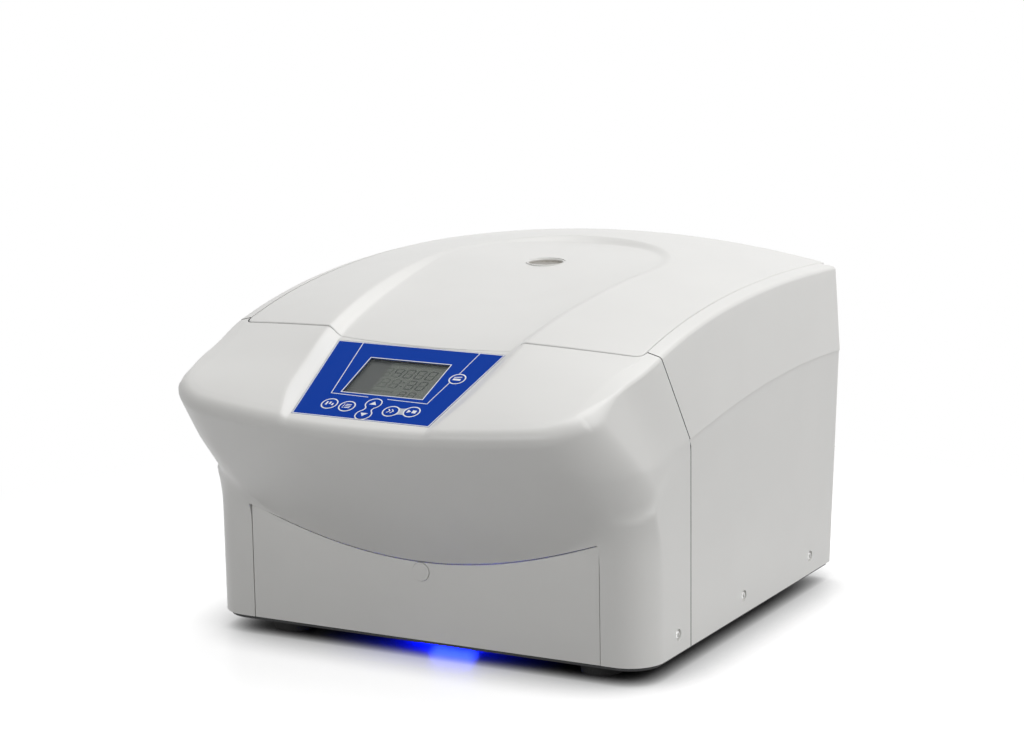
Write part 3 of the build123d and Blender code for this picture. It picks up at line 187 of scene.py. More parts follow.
def fitted_curve(rows, column, degree):
    """Polynomial that follows a few points without waves."""
    xs = np.array([row[0] for row in rows], float)
    ys = np.array([row[column] for row in rows], float)
    middle, reach = xs.mean(), np.ptp(xs) / 2
    terms = np.polyfit((xs - middle) / reach, ys, degree)
    return lambda at: np.polyval(terms, (np.asarray(at, float) - middle) / reach)


crease_h = fitted_curve(ROOF, 1, 3)
edge_h = fitted_curve(ROOF, 2, 4)
lid_side_h = fitted_curve(ROOF, 3, 4)
console_edge = smooth_curve(CONSOLE, 1)
console_crown = smooth_curve(CONSOLE, 2)
trough_floor = smooth_curve(TROUGH_FLOOR)
ridge_half = smooth_curve(RIDGE_HALF)


def ease(t):
    """From 0 to 1 with soft ends."""
    t = np.clip(t, 0, 1)
    return t * t * (3 - 2 * t)


def bisect(low, high, steps, short_of):
    """Find where a test stops being true, for whole arrays at once."""
    for _ in range(steps):
        middle = (low + high) / 2
        short = short_of(middle)
        low = np.where(short, middle, low)
        high = np.where(short, high, middle)
    return middle


def conic(first, corner, last, weight, t):
    """Point of a round between two ends, drawn towards their corner by a weight."""
    parts = (1 - t) ** 2, 2 * weight * t * (1 - t), t * t
    return (parts[0] * first + parts[1] * corner + parts[2] * last) / sum(parts)


def arc(centre, radius, start, end, count):
    """Places along a round line."""
    return [(centre[0] + radius * cos(a), centre[1] + radius * sin(a))
            for a in np.linspace(start, end, count)]


def circle(x, y, radius, count=48):
    return arc((x, y), radius, 0, 2 * pi, count + 1)[:-1]


def oblong(x, y, width, height):
    """Rectangle round a middle."""
    return [(x - width / 2, y - height / 2), (x + width / 2, y - height / 2),
            (x + width / 2, y + height / 2), (x - width / 2, y + height / 2)]


def capsule(x, y, width, height):
    """Upright slot with round ends."""
    r = width / 2
    return (arc((x, y + height / 2 - r), r, 0, pi, 10)
            + arc((x, y - height / 2 + r), r, pi, 2 * pi, 10))


def place(x, d, h):
    """Point in metres in the frame of the solids."""
    return Vector((x * MM, (FRONT + d) * MM, (BOTTOM + h) * MM))


# ---- Pieces and cutters ----
# Tolerances and a place inside the machine, in metres
MERGE, SLIVER, MIRROR_MERGE = 0.00002, 0.000005, 0.00003
INSIDE = Vector((0, 0, 0.12))


def add(name, data):
    """Put an object in the scene."""
    made = bpy.data.objects.new(name, data)
    bpy.context.scene.collection.objects.link(made)
    return made


def add_mesh(name, work):
    """Make an object of a bmesh, which is used up."""
    mesh = bpy.data.meshes.new(name)
    work.to_mesh(mesh)
    work.free()
    return add(name, mesh)


def new_piece(name, work, material, body, smooth=True):
    """Make a piece of a finished bmesh, shade it and let it ride on a body."""
    piece = add_mesh(name, work)
    for polygon in piece.data.polygons:
        polygon.use_smooth = smooth
    piece.data.materials.append(material)
    if body:
        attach(piece, body)
    return piece


def crisp(piece, angle=28):
    """Keep edges sharper than the angle sharp."""
    mesh = piece.data
    work = bmesh.new()
    work.from_mesh(mesh)
    for edge in work.edges:
        if len(edge.link_faces) == 2:
            edge.smooth = edge.calc_face_angle(0) < radians(angle)
    work.to_mesh(mesh)
    work.free()


def shaped_grid(columns, rows, where):
    """Grid of columns by rows points, each moved to where(column, row)."""
    work = bmesh.new()
    bmesh.ops.create_grid(work, x_segments=columns - 1, y_segments=rows - 1, size=1.0)
    for vert in work.verts:
        i = round((vert.co.x + 1) / 2 * (columns - 1))
        j = round((vert.co.y + 1) / 2 * (rows - 1))
        vert.co = where(i, j)
    return work


def finish_mesh(work, merge=MERGE):
    """Merge doubles, drop slivers and turn all faces outwards."""
    bmesh.ops.remove_doubles(work, verts=work.verts, dist=merge)
    bmesh.ops.dissolve_degenerate(work, edges=work.edges, dist=SLIVER)
    bmesh.ops.recalc_face_normals(work, faces=work.faces)


def full_width(work):
    """Join a right half with its mirror image across the middle."""
    bmesh.ops.mirror(work, geom=work.verts[:] + work.edges[:] + work.faces[:],
                     axis="X", merge_dist=MIRROR_MERGE)
    finish_mesh(work)
    facing = sum(f.calc_area() * f.normal.dot(f.calc_center_median() - INSIDE)
                 for f in work.faces)
    if facing < 0:
        bmesh.ops.reverse_faces(work, faces=work.faces)


def extrude(work, shift):
    """Make solids of flat faces."""
    grown = bmesh.ops.extrude_face_region(work, geom=work.faces[:])
    bmesh.ops.translate(work, vec=shift,
                        verts=[g for g in grown["geom"] if isinstance(g, bmesh.types.BMVert)])
    bmesh.ops.recalc_face_normals(work, faces=work.faces)


def apply_modifier(piece, change):
    """Make a modifier's result the piece's own mesh."""
    bpy.context.view_layer.objects.active = piece
    with bpy.context.temp_override(object=piece, active_object=piece):
        bpy.ops.object.modifier_apply(modifier=change.name)


def thicken(piece, spots=()):
    """Give a skin its wall, inwards, thinner round tight corners at the given spots."""
    change = piece.modifiers.new("wall", "SOLIDIFY")
    if spots:
        group = piece.vertex_groups.new(name="wall")
        change.vertex_group = "wall"
        for vert in piece.data.vertices:
            near = min((vert.co - spot).length for spot in spots) / (THIN_REACH * MM)
            share = THIN_SHARE + (1 - THIN_SHARE) * float(ease(near * 1.6 - 0.6))
            group.add([vert.index], share, "REPLACE")
    change.thickness = WALL * MM
    change.offset = -1
    change.use_even_offset = False
    # Inner faces and rims take the near-black painted shade
    change.material_offset = 1
    change.material_offset_rim = 1
    piece.data.materials.append(inside_painted_shade)
    apply_modifier(piece, change)


def prism(points, low, high, axis="z"):
    """Cutter: outline in the plane across the axis, between two distances along it."""
    turn = {"z": lambda a, b, c: Vector((a, b, c)),
            "x": lambda a, b, c: Vector((c, a, b)),
            "y": lambda a, b, c: Vector((a, c, b))}[axis]
    work = bmesh.new()
    work.faces.new([work.verts.new(turn(a * MM, b * MM, low * MM)) for a, b in points])
    extrude(work, turn(0, 0, (high - low) * MM))
    return add_mesh("cutter", work)


def cut_out(piece, cutters):
    """Take the space of separate cutters out of the piece, and delete them."""
    work = bmesh.new()
    for cutter in cutters:
        work.from_mesh(cutter.data)
        bpy.data.objects.remove(cutter, do_unlink=True)
    whole = add_mesh("cutters", work)
    change = piece.modifiers.new("cut", "BOOLEAN")
    change.operation = "DIFFERENCE"
    change.solver = "EXACT"
    change.object = whole
    apply_modifier(piece, change)
    bpy.data.objects.remove(whole, do_unlink=True)


# ---- Materials ----
def new_material(name, color, roughness, sockets=()):
    """Material, its nodes and its shader; sockets gives further values of the shader."""
    material = bpy.data.materials.new(name)
    material.use_nodes = True
    shader = material.node_tree.nodes["Principled BSDF"]
    values = {"Base Color": (*color, 1), "Roughness": roughness, **dict(sockets)}
    for socket, value in values.items():
        shader.inputs[socket].default_value = value
    return material, material.node_tree, shader


def node(tree, kind, **settings):
    """New node; each setting is one of its inputs or else one of its properties."""
    made = tree.nodes.new(kind)
    for key, value in settings.items():
        if key in made.inputs:
            made.inputs[key].default_value = value
        else:
            setattr(made, key, value)
    return made


def wire(tree, *links):
    """Join sockets: each link is a node, its output, another node and that one's input."""
    for source, output, target, entry in links:
        tree.links.new(source.outputs[output], target.inputs[entry])


def ramp(tree, *stops):
    """Colours between two stops, each a position and a colour."""
    made = node(tree, "ShaderNodeValToRGB")
    for element, (position, color) in zip(made.color_ramp.elements, stops):
        element.position = position
        element.color = (*color, 1)
    return made


def remap(tree, start, end, low=0.0, high=1.0, fade="LINEAR"):
    """Carry one range of values over to another."""
    return node(tree, "ShaderNodeMapRange", interpolation_type=fade,
                **{"From Min": start, "From Max": end, "To Min": low, "To Max": high})


def by_ray(tree, hidden, shown, output):
    """Show one shader to the camera, mirrors and clear parts, and the other to plain light."""
    rays = node(tree, "ShaderNodeLightPath")
    direct = node(tree, "ShaderNodeMath", operation="MAXIMUM")
    seen = node(tree, "ShaderNodeMath", operation="MAXIMUM")
    pick = node(tree, "ShaderNodeMixShader")
    wire(tree, (rays, "Is Camera Ray", direct, 0), (rays, "Is Glossy Ray", direct, 1),
         (direct, 0, seen, 0), (rays, "Is Transmission Ray", seen, 1), (seen, 0, pick, "Fac"),
         (hidden, 0, pick, 1), (shown, 0, pick, 2), (pick, 0, output, "Surface"))


def object_noise(tree, scale, detail=3.0, roughness=0.5, stretch=(1, 1, 1)):
    """Noise on the piece's own coordinates, in metres."""
    where = node(tree, "ShaderNodeTexCoord")
    mapping = node(tree, "ShaderNodeMapping", Scale=stretch)
    noise = node(tree, "ShaderNodeTexNoise", Scale=scale, Detail=detail, Roughness=roughness)
    wire(tree, (where, "Object", mapping, "Vector"), (mapping, "Vector", noise, "Vector"))
    return noise


def speckle(tree, shader, noise, color, swing):
    """Vary a colour slightly with a noise."""
    shades = ramp(tree, (0.3, [c * (1 - swing) for c in color]),
                  (0.7, [min(c * (1 + swing), 1) for c in color]))
    wire(tree, (noise, "Fac", shades, "Fac"), (shades, "Color", shader, "Base Color"))


def vary_roughness(tree, shader, noise, low, high):
    spread = remap(tree, 0.0, 1.0, low, high)
    wire(tree, (noise, "Fac", spread, "Value"), (spread, "Result", shader, "Roughness"))


def bump(tree, shader, noise, strength, distance):
    relief = node(tree, "ShaderNodeBump", Strength=strength, Distance=distance)
    wire(tree, (noise, "Fac", relief, "Height"), (relief, "Normal", shader, "Normal"))


def tinted(name, color, roughness, scale, swing, sockets=()):
    """Plain finish with a faint speckle."""
    material, tree, shader = new_material(name, color, roughness, sockets)
    speckle(tree, shader, object_noise(tree, scale), color, swing)
    return material


def moulded_plastic(name, color, roughness, grain=0.12, specular=0.45):
    """Plastic with a fine moulded grain and faint unevenness of colour."""
    material, tree, shader = new_material(name, color, roughness,
                                          {"Specular IOR Level": specular})
    speckle(tree, shader, object_noise(tree, 14.0, 2.0), color, 0.012)
    vary_roughness(tree, shader, object_noise(tree, 60.0), roughness - 0.04, roughness + 0.05)
    bump(tree, shader, object_noise(tree, 900.0, 2.0), grain, 0.00005)
    return material


def metal(name, color, roughness, stretch=(1, 1, 1), scale=500.0):
    """Metal, brushed across the axis that the stretch is large on."""
    material, tree, shader = new_material(name, color, roughness, {"Metallic": 1.0})
    lines = object_noise(tree, scale, 3.0, 0.6, stretch)
    speckle(tree, shader, lines, color, 0.05)
    vary_roughness(tree, shader, lines, roughness * 0.8, roughness * 1.25)
    bump(tree, shader, lines, 0.15, 0.00003)
    return material


def rubbery(name, color, roughness=0.7):
    material, tree, shader = new_material(name, color, roughness)
    grain = object_noise(tree, 700.0, 3.0)
    speckle(tree, shader, grain, color, 0.15)
    bump(tree, shader, grain, 0.25, 0.00008)
    return material


cover_white = moulded_plastic("cover_white", (0.78, 0.775, 0.755), 0.34)
liner_white = moulded_plastic("liner_white", (0.72, 0.715, 0.70), 0.45)
# Painted shade: near-black for the shells' inner faces and rims, so the gaps and seams between
# the covers look dark
inside_painted_shade = moulded_plastic("inside_painted_shade", (0.035, 0.035, 0.036), 0.6)
black_plastic = moulded_plastic("black_plastic", (0.018, 0.018, 0.02), 0.38)
board_green = moulded_plastic("board_green", (0.03, 0.16, 0.06), 0.4)
keypad_blue = moulded_plastic("keypad_blue", (0.002, 0.045, 0.36), 0.5, 0.25, 0.04)
bright_steel = metal("bright_steel", (0.62, 0.62, 0.61), 0.22)
brushed_bowl = metal("brushed_bowl", (0.60, 0.60, 0.59), 0.28, (1, 1, 30), 60.0)
aluminium = metal("aluminium", (0.66, 0.67, 0.68), 0.36)
guard_paint = moulded_plastic("guard_paint", (0.22, 0.225, 0.23), 0.5)
base_paint = moulded_plastic("base_paint", (0.012, 0.012, 0.013), 0.45)
iron = metal("laminated_iron", (0.16, 0.16, 0.165), 0.5, (1, 1, 60), 40.0)
foot_rubber = rubbery("foot_rubber", (0.014, 0.014, 0.014))
seal_rubber = rubbery("seal_rubber", (0.10, 0.10, 0.10), 0.6)
print_white = tinted("print_white", (0.80, 0.82, 0.86), 0.4, 300.0, 0.03)
print_grey = tinted("print_grey", (0.47, 0.50, 0.56), 0.4, 300.0, 0.03)
lcd_dark = tinted("lcd_dark", (0.02, 0.026, 0.02), 0.5, 400.0, 0.08)
lcd_ghost = tinted("lcd_ghost", (0.075, 0.085, 0.068), 0.5, 400.0, 0.04)
window_clear = tinted("display_clear", (0.12, 0.14, 0.15), 0.06, 30.0, 0.05,
                      {"Alpha": 0.10, "Specular IOR Level": 0.3})
port_clear = tinted("port_tinted", (0.42, 0.39, 0.33), 0.08, 40.0, 0.03, {"Alpha": 0.55})
led_blue = tinted("led_blue", (0.01, 0.02, 0.6), 0.3, 60.0, 0.05,
                  {"Emission Color": (0.03, 0.07, 1.0, 1), "Emission Strength": 60.0})

# The display's grey, with painted shade: a darker band down its left side, where the lid shades
# it
lcd_grey, tree, shader = new_material("lcd_grey", (0.20, 0.22, 0.18), 0.4)
where = node(tree, "ShaderNodeTexCoord")
split = node(tree, "ShaderNodeSeparateXYZ")
spread = remap(tree, *[(WINDOW_CENTRE[0] + side * WINDOW_SIZE[0] / 2) * MM for side in (-1, 1)])
shade = ramp(tree, (0.26, (0.06, 0.064, 0.058)), (0.31, (0.135, 0.15, 0.125)))
wire(tree, (where, "Object", split, 0), (split, "X", spread, "Value"),
     (spread, "Result", shade, "Fac"), (shade, "Color", shader, "Base Color"))

# ---- Camera and light ----
YAW, PITCH, ROLL = 0.502295, 0.203626, -0.0171782
CAMERA_PLACE = Vector((1.1053, -2.0055, 0.6635))
LAMP_AIM = Vector((0, 0, 0.1))
LAMPS = {
    "overhead": ((0.35, 0.5, 2.3), (2.2, 2.2), 38),
    "right_side": ((2.4, 0.3, 1.2), (1.8, 1.6), 26),
    "front_low": ((-0.3, -2.5, 0.95), (2.0, 1.0), 17),
}

camera_data = bpy.data.cameras.new("camera")
camera_data.lens = 108.366
camera_data.sensor_width = 36.0
camera_data.clip_end = 20.0
camera = add("camera", camera_data)
forward = Vector((-sin(YAW) * cos(PITCH), cos(YAW) * cos(PITCH), -sin(PITCH)))
level_right = Vector((cos(YAW), sin(YAW), 0))
level_up = level_right.cross(forward)
right = cos(ROLL) * level_right + sin(ROLL) * level_up
up = -sin(ROLL) * level_right + cos(ROLL) * level_up
turn = Matrix((right, up, -forward)).transposed().to_4x4()
camera.matrix_world = Matrix.Translation(CAMERA_PLACE) @ turn
bpy.context.scene.camera = camera
bpy.context.scene.view_settings.view_transform = "Standard"

for name, (spot, size, power) in LAMPS.items():
    data = bpy.data.lights.new(name, "AREA")
    data.shape = "RECTANGLE"
    data.size, data.size_y = size
    data.energy = power
    lamp = add(name, data)
    lamp.location = spot
    lamp.rotation_euler = (LAMP_AIM - Vector(spot)).to_track_quat("-Z", "Y").to_euler()

world = bpy.data.worlds.new("studio")
bpy.context.scene.world = world
world.use_nodes = True
sky = world.node_tree
sky.nodes.clear()
plain = node(sky, "ShaderNodeBackground", Color=(1, 1, 1, 1), Strength=0.12)
white = node(sky, "ShaderNodeBackground", Color=(1, 1, 1, 1), Strength=1.0)
by_ray(sky, plain, white, node(sky, "ShaderNodeOutputWorld"))

# ---- Floor: painted shade close to the machine, a painted pool of blue light under its LED, fading to plain white (metres) ----
FLOOR_HALF = 6.0
SHADOW_REACH = 0.075
FADE_START, FADE_END = 0.32, 0.62
# Painted pool of the LED's blue light: the floor's colour turns blue between these distances from
# it
PAINTED_POOL_FULL, PAINTED_POOL_NONE = 0.05, 0.11
PAINTED_POOL_COLOR = (0.0, 0.02, 0.42, 1)

floor_work = bmesh.new()
bmesh.ops.create_grid(floor_work, x_segments=2, y_segments=2, size=FLOOR_HALF)
floor_paint, tree, shader = new_material("floor_white", (0.27, 0.27, 0.27), 0.3)
where = node(tree, "ShaderNodeTexCoord")
# Painted shade: occlusion darkens the floor's white glow and its lit colour round and under the
# machine
painted_shade_ao = node(tree, "ShaderNodeAmbientOcclusion", Distance=SHADOW_REACH, samples=24)
painted_shade_ramp = ramp(tree, (0.12, (0, 0, 0)), (0.86, (1, 1, 1)))
glow = node(tree, "ShaderNodeEmission", Strength=0.86)
dim = node(tree, "ShaderNodeMixRGB", blend_type="MULTIPLY", Fac=1.0,
           Color2=(0.42, 0.42, 0.42, 1))
# Painted light: the floor's colour is made blue near the LED
from_led = node(tree, "ShaderNodeVectorMath", operation="DISTANCE")
from_led.inputs[1].default_value = (0, (FRONT + LED_D) * MM, 0)
led_reach = remap(tree, PAINTED_POOL_NONE, PAINTED_POOL_FULL, fade="SMOOTHSTEP")
painted_led_pool = node(tree, "ShaderNodeMixRGB", blend_type="LIGHTEN", Color2=PAINTED_POOL_COLOR)
lit_floor = node(tree, "ShaderNodeBsdfDiffuse")
near_floor = node(tree, "ShaderNodeAddShader")
polish = node(tree, "ShaderNodeBsdfGlossy", Roughness=0.28)
polished = node(tree, "ShaderNodeMixShader", Fac=0.1)
far_floor = node(tree, "ShaderNodeEmission", Color=(1, 1, 1, 1), Strength=1.0)
reach = node(tree, "ShaderNodeVectorMath", operation="LENGTH")
fade = remap(tree, FADE_START, FADE_END, fade="SMOOTHSTEP")
by_distance = node(tree, "ShaderNodeMixShader")
wire(tree, (painted_shade_ao, "Color", painted_shade_ramp, "Fac"), (painted_shade_ramp, "Color", glow, "Color"),
     (painted_shade_ramp, "Color", dim, "Color1"), (where, "Object", from_led, 0),
     (from_led, "Value", led_reach, "Value"), (led_reach, "Result", painted_led_pool, "Fac"),
     (dim, "Color", painted_led_pool, "Color1"), (painted_led_pool, "Color", lit_floor, "Color"),
     (glow, 0, near_floor, 0), (lit_floor, 0, near_floor, 1), (near_floor, 0, polished, 1),
     (polish, 0, polished, 2), (where, "Object", reach, 0), (reach, "Value", fade, "Value"),
     (fade, "Result", by_distance, "Fac"), (polished, 0, by_distance, 1),
     (far_floor, 0, by_distance, 2))
by_ray(tree, shader, by_distance, tree.nodes["Material Output"])
floor = new_piece("bench", floor_work, floor_paint, None)


# ---- Lid's plan and the trough's columns, which the console shares ----
def lid_roof(x, d):
    """Crowned top of the lid, without its trough."""
    return lid_side_h(d) + CROWN * (1 - (x / HALF_LID) ** 2)


def lid_front(x):
    """Plan of the lid's front edge, with its round corners."""
    a = abs(x)
    d = LID_FRONT + LID_BOW * (a / HALF_LID) ** 2
    over = max(a - (HALF_LID - LID_CORNER), 0.0)
    return d + LID_CORNER - sqrt(max(LID_CORNER ** 2 - over ** 2, 0.0))


def lid_outline(grow):
    """Half of the lid's front and corner in plan, grown: places and length along it."""
    turn = np.linspace(0, pi / 2, 14)[1:]
    x = np.concatenate([np.linspace(0, HALF_LID - LID_CORNER, 90),
                        HALF_LID - LID_CORNER + LID_CORNER * np.sin(turn)])
    d = np.array([lid_front(a) for a in x])
    x = np.append(x, HALF_LID)
    d = np.append(d, BEHIND_ALL)
    dx, dd = np.gradient(x), np.gradient(d)
    size = np.hypot(dx, dd)
    x, d = x + grow * dd / size, d - grow * dx / size
    return x, d, np.concatenate([[0], np.cumsum(np.hypot(np.diff(x), np.diff(d)))])


def floor_half(d):
    """Half width of the trough's floor."""
    if d < KEYPAD_D:
        return TROUGH_HALF - TROUGH_TAPER * (KEYPAD_D - d)
    return np.interp(d, [KEYPAD_D, TROUGH_HALF_LID[0], PORT_D],
                     [TROUGH_HALF, TROUGH_HALF_LID[1], DISH_RADIUS - DISH_WALL])


def zone_x(zone, d, outer):
    """Across: floor, wall and ridge of the trough keep to columns of their own."""
    return float(np.interp(zone, [0, 1, 2, 3], [0, floor_half(d), float(ridge_half(d)), outer]))


def wall_share(zone):
    """How far up the trough's wall a column stands."""
    part = min(max(zone - 1, 0), 1)
    return 0.5 * part + 0.5 * float(ease(part))


# ---- Front cover: lower front, chin, lip and console top in one skin ----
def seam_d(h):
    """Place of the seam between the covers, which leans forward above its kink."""
    return SEAM_D - np.maximum(h - KINK_H, 0) * (SEAM_D - SEAM_TOP_D) / (SEAM_TOP_H - KINK_H)


def side_half(d, h):
    """Half width of the side walls below and above their crease."""
    crease, edge = crease_h(d), edge_h(d)
    low = HALF_BOTTOM + (HALF_CREASE - CREASE_STEP - HALF_BOTTOM) * h / crease
    high = HALF_CREASE - (HALF_CREASE - HALF_TOP) * (h - crease) / (edge - crease)
    return low, high


def body_half(d, h):
    """Half width of the front cover's sides, their crease softened."""
    d = np.maximum(d, ROOF[0][0])
    low, high = side_half(d, h)
    crease = crease_h(d)
    soft = ease((h - crease + CREASE_ROUND) / CREASE_ROUND)
    return np.where(h < crease, low + CREASE_STEP * soft, high)


def nose_bow(h):
    return CHIN_BOW - CHIN_FADE * (h - CHIN_FOOT)


def nose_half(d, h):
    """Half width of the nose; it runs into the side walls before the seam."""
    front = np.interp(h, NOSE_LEVELS, NOSE_FRONT)
    back = np.interp(h, NOSE_LEVELS, NOSE_BACK)
    corner = -CHIN_SLOPE * (h - CHIN_FOOT) + nose_bow(h) * front ** 2
    own = front + (back - front) * np.clip((d - corner) / (NOSE_BACK_D - corner), 0, 1)
    share = ease((d - seam_d(h) + NOSE_BLEND) / NOSE_BLEND)
    return own + (body_half(d, h) - own) * share


def round_corner(across, ahead, radius):
    """Distance outside two walls that meet in a round corner."""
    a, b = across + radius, ahead + radius
    return np.minimum(np.maximum(a, b), 0) + np.hypot(np.maximum(a, 0), np.maximum(b, 0)) - radius


def outside(x, d, h):
    """How far a place lies outside the lower front and the nose, joined softly at the sides."""
    side = x - body_half(d, h)
    lower = np.maximum(round_corner(side, -d, LOWER_ROUND),
                       (h - UNDER_H - UNDER_SLOPE * d) * UNDER_COSINE)
    bow = nose_bow(h)
    face = -CHIN_SLOPE * (h - CHIN_FOOT) + bow * x ** 2 - d
    upper = round_corner(x - nose_half(d, h), face / np.sqrt(1 + (2 * bow * x) ** 2), NOSE_ROUND)
    soft = JOINT_MIDDLE + JOINT_SIDE * ease((x - JOINT_FROM) / JOINT_RUN)
    near = np.maximum(soft - np.abs(lower - upper), 0) / soft
    return np.maximum(np.minimum(lower, upper) - near * near * soft / 4, side)


# Ranges that hold the wall and the lip, and a level between the arch and the lip
WALL_REACH = (30.0, 330.0)
LIP_HEIGHTS = (120.0, 226.0)
ARCH_LEVEL = 85.0


def wall_point(angle, h):
    """Places on the outer wall, by their angle from straight ahead and their height."""
    near, far = (np.full(np.shape(angle), reach) for reach in WALL_REACH)
    reach = bisect(near, far, 26, lambda r: outside(r * np.sin(angle),
                                                    NOSE_BACK_D - r * np.cos(angle), h) <= 0)
    return reach * np.sin(angle), NOSE_BACK_D - reach * np.cos(angle)


RAYS = np.linspace(0, pi / 2, 300)
LEVELS = np.linspace(0, 228, 77)
wall_x, wall_d = wall_point(*np.meshgrid(RAYS, LEVELS))
steps = np.hypot(np.diff(wall_x), np.diff(wall_d))
run = np.concatenate([np.zeros((len(LEVELS), 1)), np.cumsum(steps, axis=1)], axis=1)


def wall_angles(shares):
    """Angle at each level for columns that stand a share of the way round to the seam."""
    table = []
    for k, level in enumerate(LEVELS):
        end = np.interp(seam_d(level) - SEAM_GAP / 2, wall_d[k], run[k])
        table.append(np.interp(shares * end, run[k], RAYS))
    return np.array(table).T


def on_wall(table, h):
    """Places on the wall: one height, or one row of heights, for each column."""
    angle = np.array([np.interp(h[j], LEVELS, table[j]) for j in range(len(table))])
    return wall_point(angle, h)


def console_roof(x, d):
    """Crowned top of the console, without its trough."""
    return console_edge(d) + console_crown(d) * (1 - (x / CONSOLE_HALF) ** 2)


def lip_corner(table):
    """Where each column's wall would meet the roof, were the lip sharp."""
    low, high = (np.full(len(table), limit) for limit in LIP_HEIGHTS)
    h = bisect(low, high, 30,
               lambda h: console_roof(*on_wall(table, h)) - BAND * BAND_FALL > h)
    return (*on_wall(table, h), h)


# Columns go from the middle over the trough's floor, wall and ridge to the seam
ZONE_COLUMNS = (22, 9, 20, 66)
# Ends of the zones along the lip, and the outer end of the ridge along the lid's seam
LIP_FLOOR, LIP_RIDGE, LIP_OUTER = 55.0, 61.5, 125.0
SEAM_OUTER = 128.0
trial = np.linspace(0, 1, 240)
trial_x = lip_corner(wall_angles(trial))[0]
# Along the first of these x only grows
ahead = slice(0, 150)
marks = [0.0] + [float(np.interp(x, trial_x[ahead], trial[ahead]))
                 for x in (LIP_FLOOR, LIP_RIDGE, LIP_OUTER)] + [1.0]
zones = np.concatenate([np.linspace(k, k + 1, count + 1)[:-1]
                        for k, count in enumerate(ZONE_COLUMNS)] + [[4.0]])
columns = wall_angles(np.interp(zones, range(5), marks))
edge_x, edge_d, edge_top = lip_corner(columns)
along_x, along_d = np.gradient(edge_x), np.gradient(edge_d)
inward_x = -along_d / np.hypot(along_x, along_d)
inward_d = along_x / np.hypot(along_x, along_d)
inward_x[0] = 0.0
inward_d[0] = 1.0
outer_lean = float(np.interp(3, zones, inward_x))
gap_x, gap_d, gap_run = lid_outline(LID_GAP)


def gap_front(x):
    """Front edge of the gap round the lid."""
    return float(np.interp(x, gap_x[:-1], gap_d[:-1]))


def console_h(x, d, zone, inset):
    """Height of the console's top: crowned, with the trough and the falling margin."""
    roof = float(console_roof(x, d)) - BAND_FALL * max(BAND - inset, 0)
    base = KEYPAD_H + KEYPAD_SLOPE * (d - KEYPAD_D)
    fade = float(ease((inset - HOLLOW_START) / HOLLOW_RUN))
    return roof - (roof - base) * (1 - wall_share(zone)) * fade


def column_place(j, inset):
    """Plan of a column of the skin at a distance inside the lip's edge."""
    x, d = edge_x[j] + inset * inward_x[j], edge_d[j] + inset * inward_d[j]
    if zones[j] < 3:
        x = zone_x(zones[j], d, LIP_OUTER + inset * outer_lean)
    return x, d


def in_lid(x, d):
    """Whether a place lies within the lid's outline and the gap round it."""
    return x <= HALF_LID + LID_GAP and d > gap_front(x)


def lid_stop(j):
    """How far inside the lip a column may go before it meets the lid's gap."""
    inset, step = BAND, 0.05
    while inset > 1 and in_lid(*column_place(j, inset)):
        inset -= step
    return inset


def lip_setback(d):
    """How far the lip's rounding reaches: far at the front, little along the sides."""
    return LIP_LEAST + LIP_GAIN * float(ease((LIP_FROM - d) / LIP_RUN))


setbacks = [lip_setback(d) for d in edge_d]
insets = [lid_stop(j) for j in range(len(zones))]
first_stopped = next(j for j, inset in enumerate(insets) if inset < BAND)
for j in range(first_stopped):
    insets[j] = BAND - BAND_PINCH * (1 - float(ease((first_stopped - j) / PINCH_COLUMNS)))
stop_place = column_place(first_stopped, insets[first_stopped])
stop_run = float(np.interp(stop_place[1], gap_d, gap_run))
seam_zone_run = float(np.interp(SEAM_OUTER, gap_x[:-1], gap_run[:-1]))


def console_place(j, share):
    """Plan of a column on the open top: 0 at the lid's seam, 1 at the margin's line."""
    x1, d1 = column_place(j, insets[j])
    if j >= first_stopped:
        return x1, d1
    if zones[j] < 3:
        d0 = gap_front(zone_x(zones[j], 8.0, SEAM_OUTER))
        d = d0 + (d1 - d0) * share
        outer = SEAM_OUTER + (LIP_OUTER + BAND * outer_lean - SEAM_OUTER) * share
        x = zone_x(zones[j], d, outer)
        return x, d if share else gap_front(x)
    part = (zones[j] - 3) / (zones[first_stopped] - 3)
    length = seam_zone_run + (stop_run - seam_zone_run) * part
    x0 = float(np.interp(length, gap_run, gap_x))
    d0 = float(np.interp(length, gap_run, gap_d))
    return x0 + (x1 - x0) * share, d0 + (d1 - d0) * share


def chin_arc_h(x):
    """Height at which the chin leaves the lower front."""
    rise = np.minimum(x, CHIN_HALF) ** 2 / CHIN_SLOPE
    return CHIN_FOOT + CHIN_BOW * rise / (1 + CHIN_FADE * rise)


# Rows go from the lid's seam over the top, the margin and the lip, and down the wall; the
# trough is at its full depth well inside the margin, and the lip's round starts near its end
TOP_INSET, LIP_START = 60, 0.9
TOP_ROWS, LIP_ROWS, CHIN_ROWS, FRONT_ROWS = 36, 10, 36, 12
BAND_ROWS = (1, 0.96, 0.9, 0.7, 0.4)
wall_drop = np.array([setback * (NOSE_DROP if d < NOSE_DROP_D else 1.0)
                      for setback, d in zip(setbacks, edge_d)])
chin_top = edge_top - wall_drop
arc_h = chin_arc_h(on_wall(columns, np.full(len(zones), ARCH_LEVEL))[0])
kink_part = (chin_top[-1] - KINK_H) / (chin_top[-1] - arc_h[-1])
kink_row = round(CHIN_ROWS * kink_part)
chin_parts = np.concatenate([np.linspace(0, kink_part, kink_row)[:-1],
                             np.linspace(kink_part, 1, CHIN_ROWS - kink_row + 1)])
chin_h = chin_top[:, None] + (arc_h - chin_top)[:, None] * chin_parts[None, :]
front_h = arc_h[:, None] * np.linspace(1, 0, FRONT_ROWS)[None, 1:]
wall_h = np.concatenate([chin_h, front_h], axis=1)
wall_places = on_wall(columns, wall_h)
skin_rows = TOP_ROWS + len(BAND_ROWS) + LIP_ROWS + wall_h.shape[1]


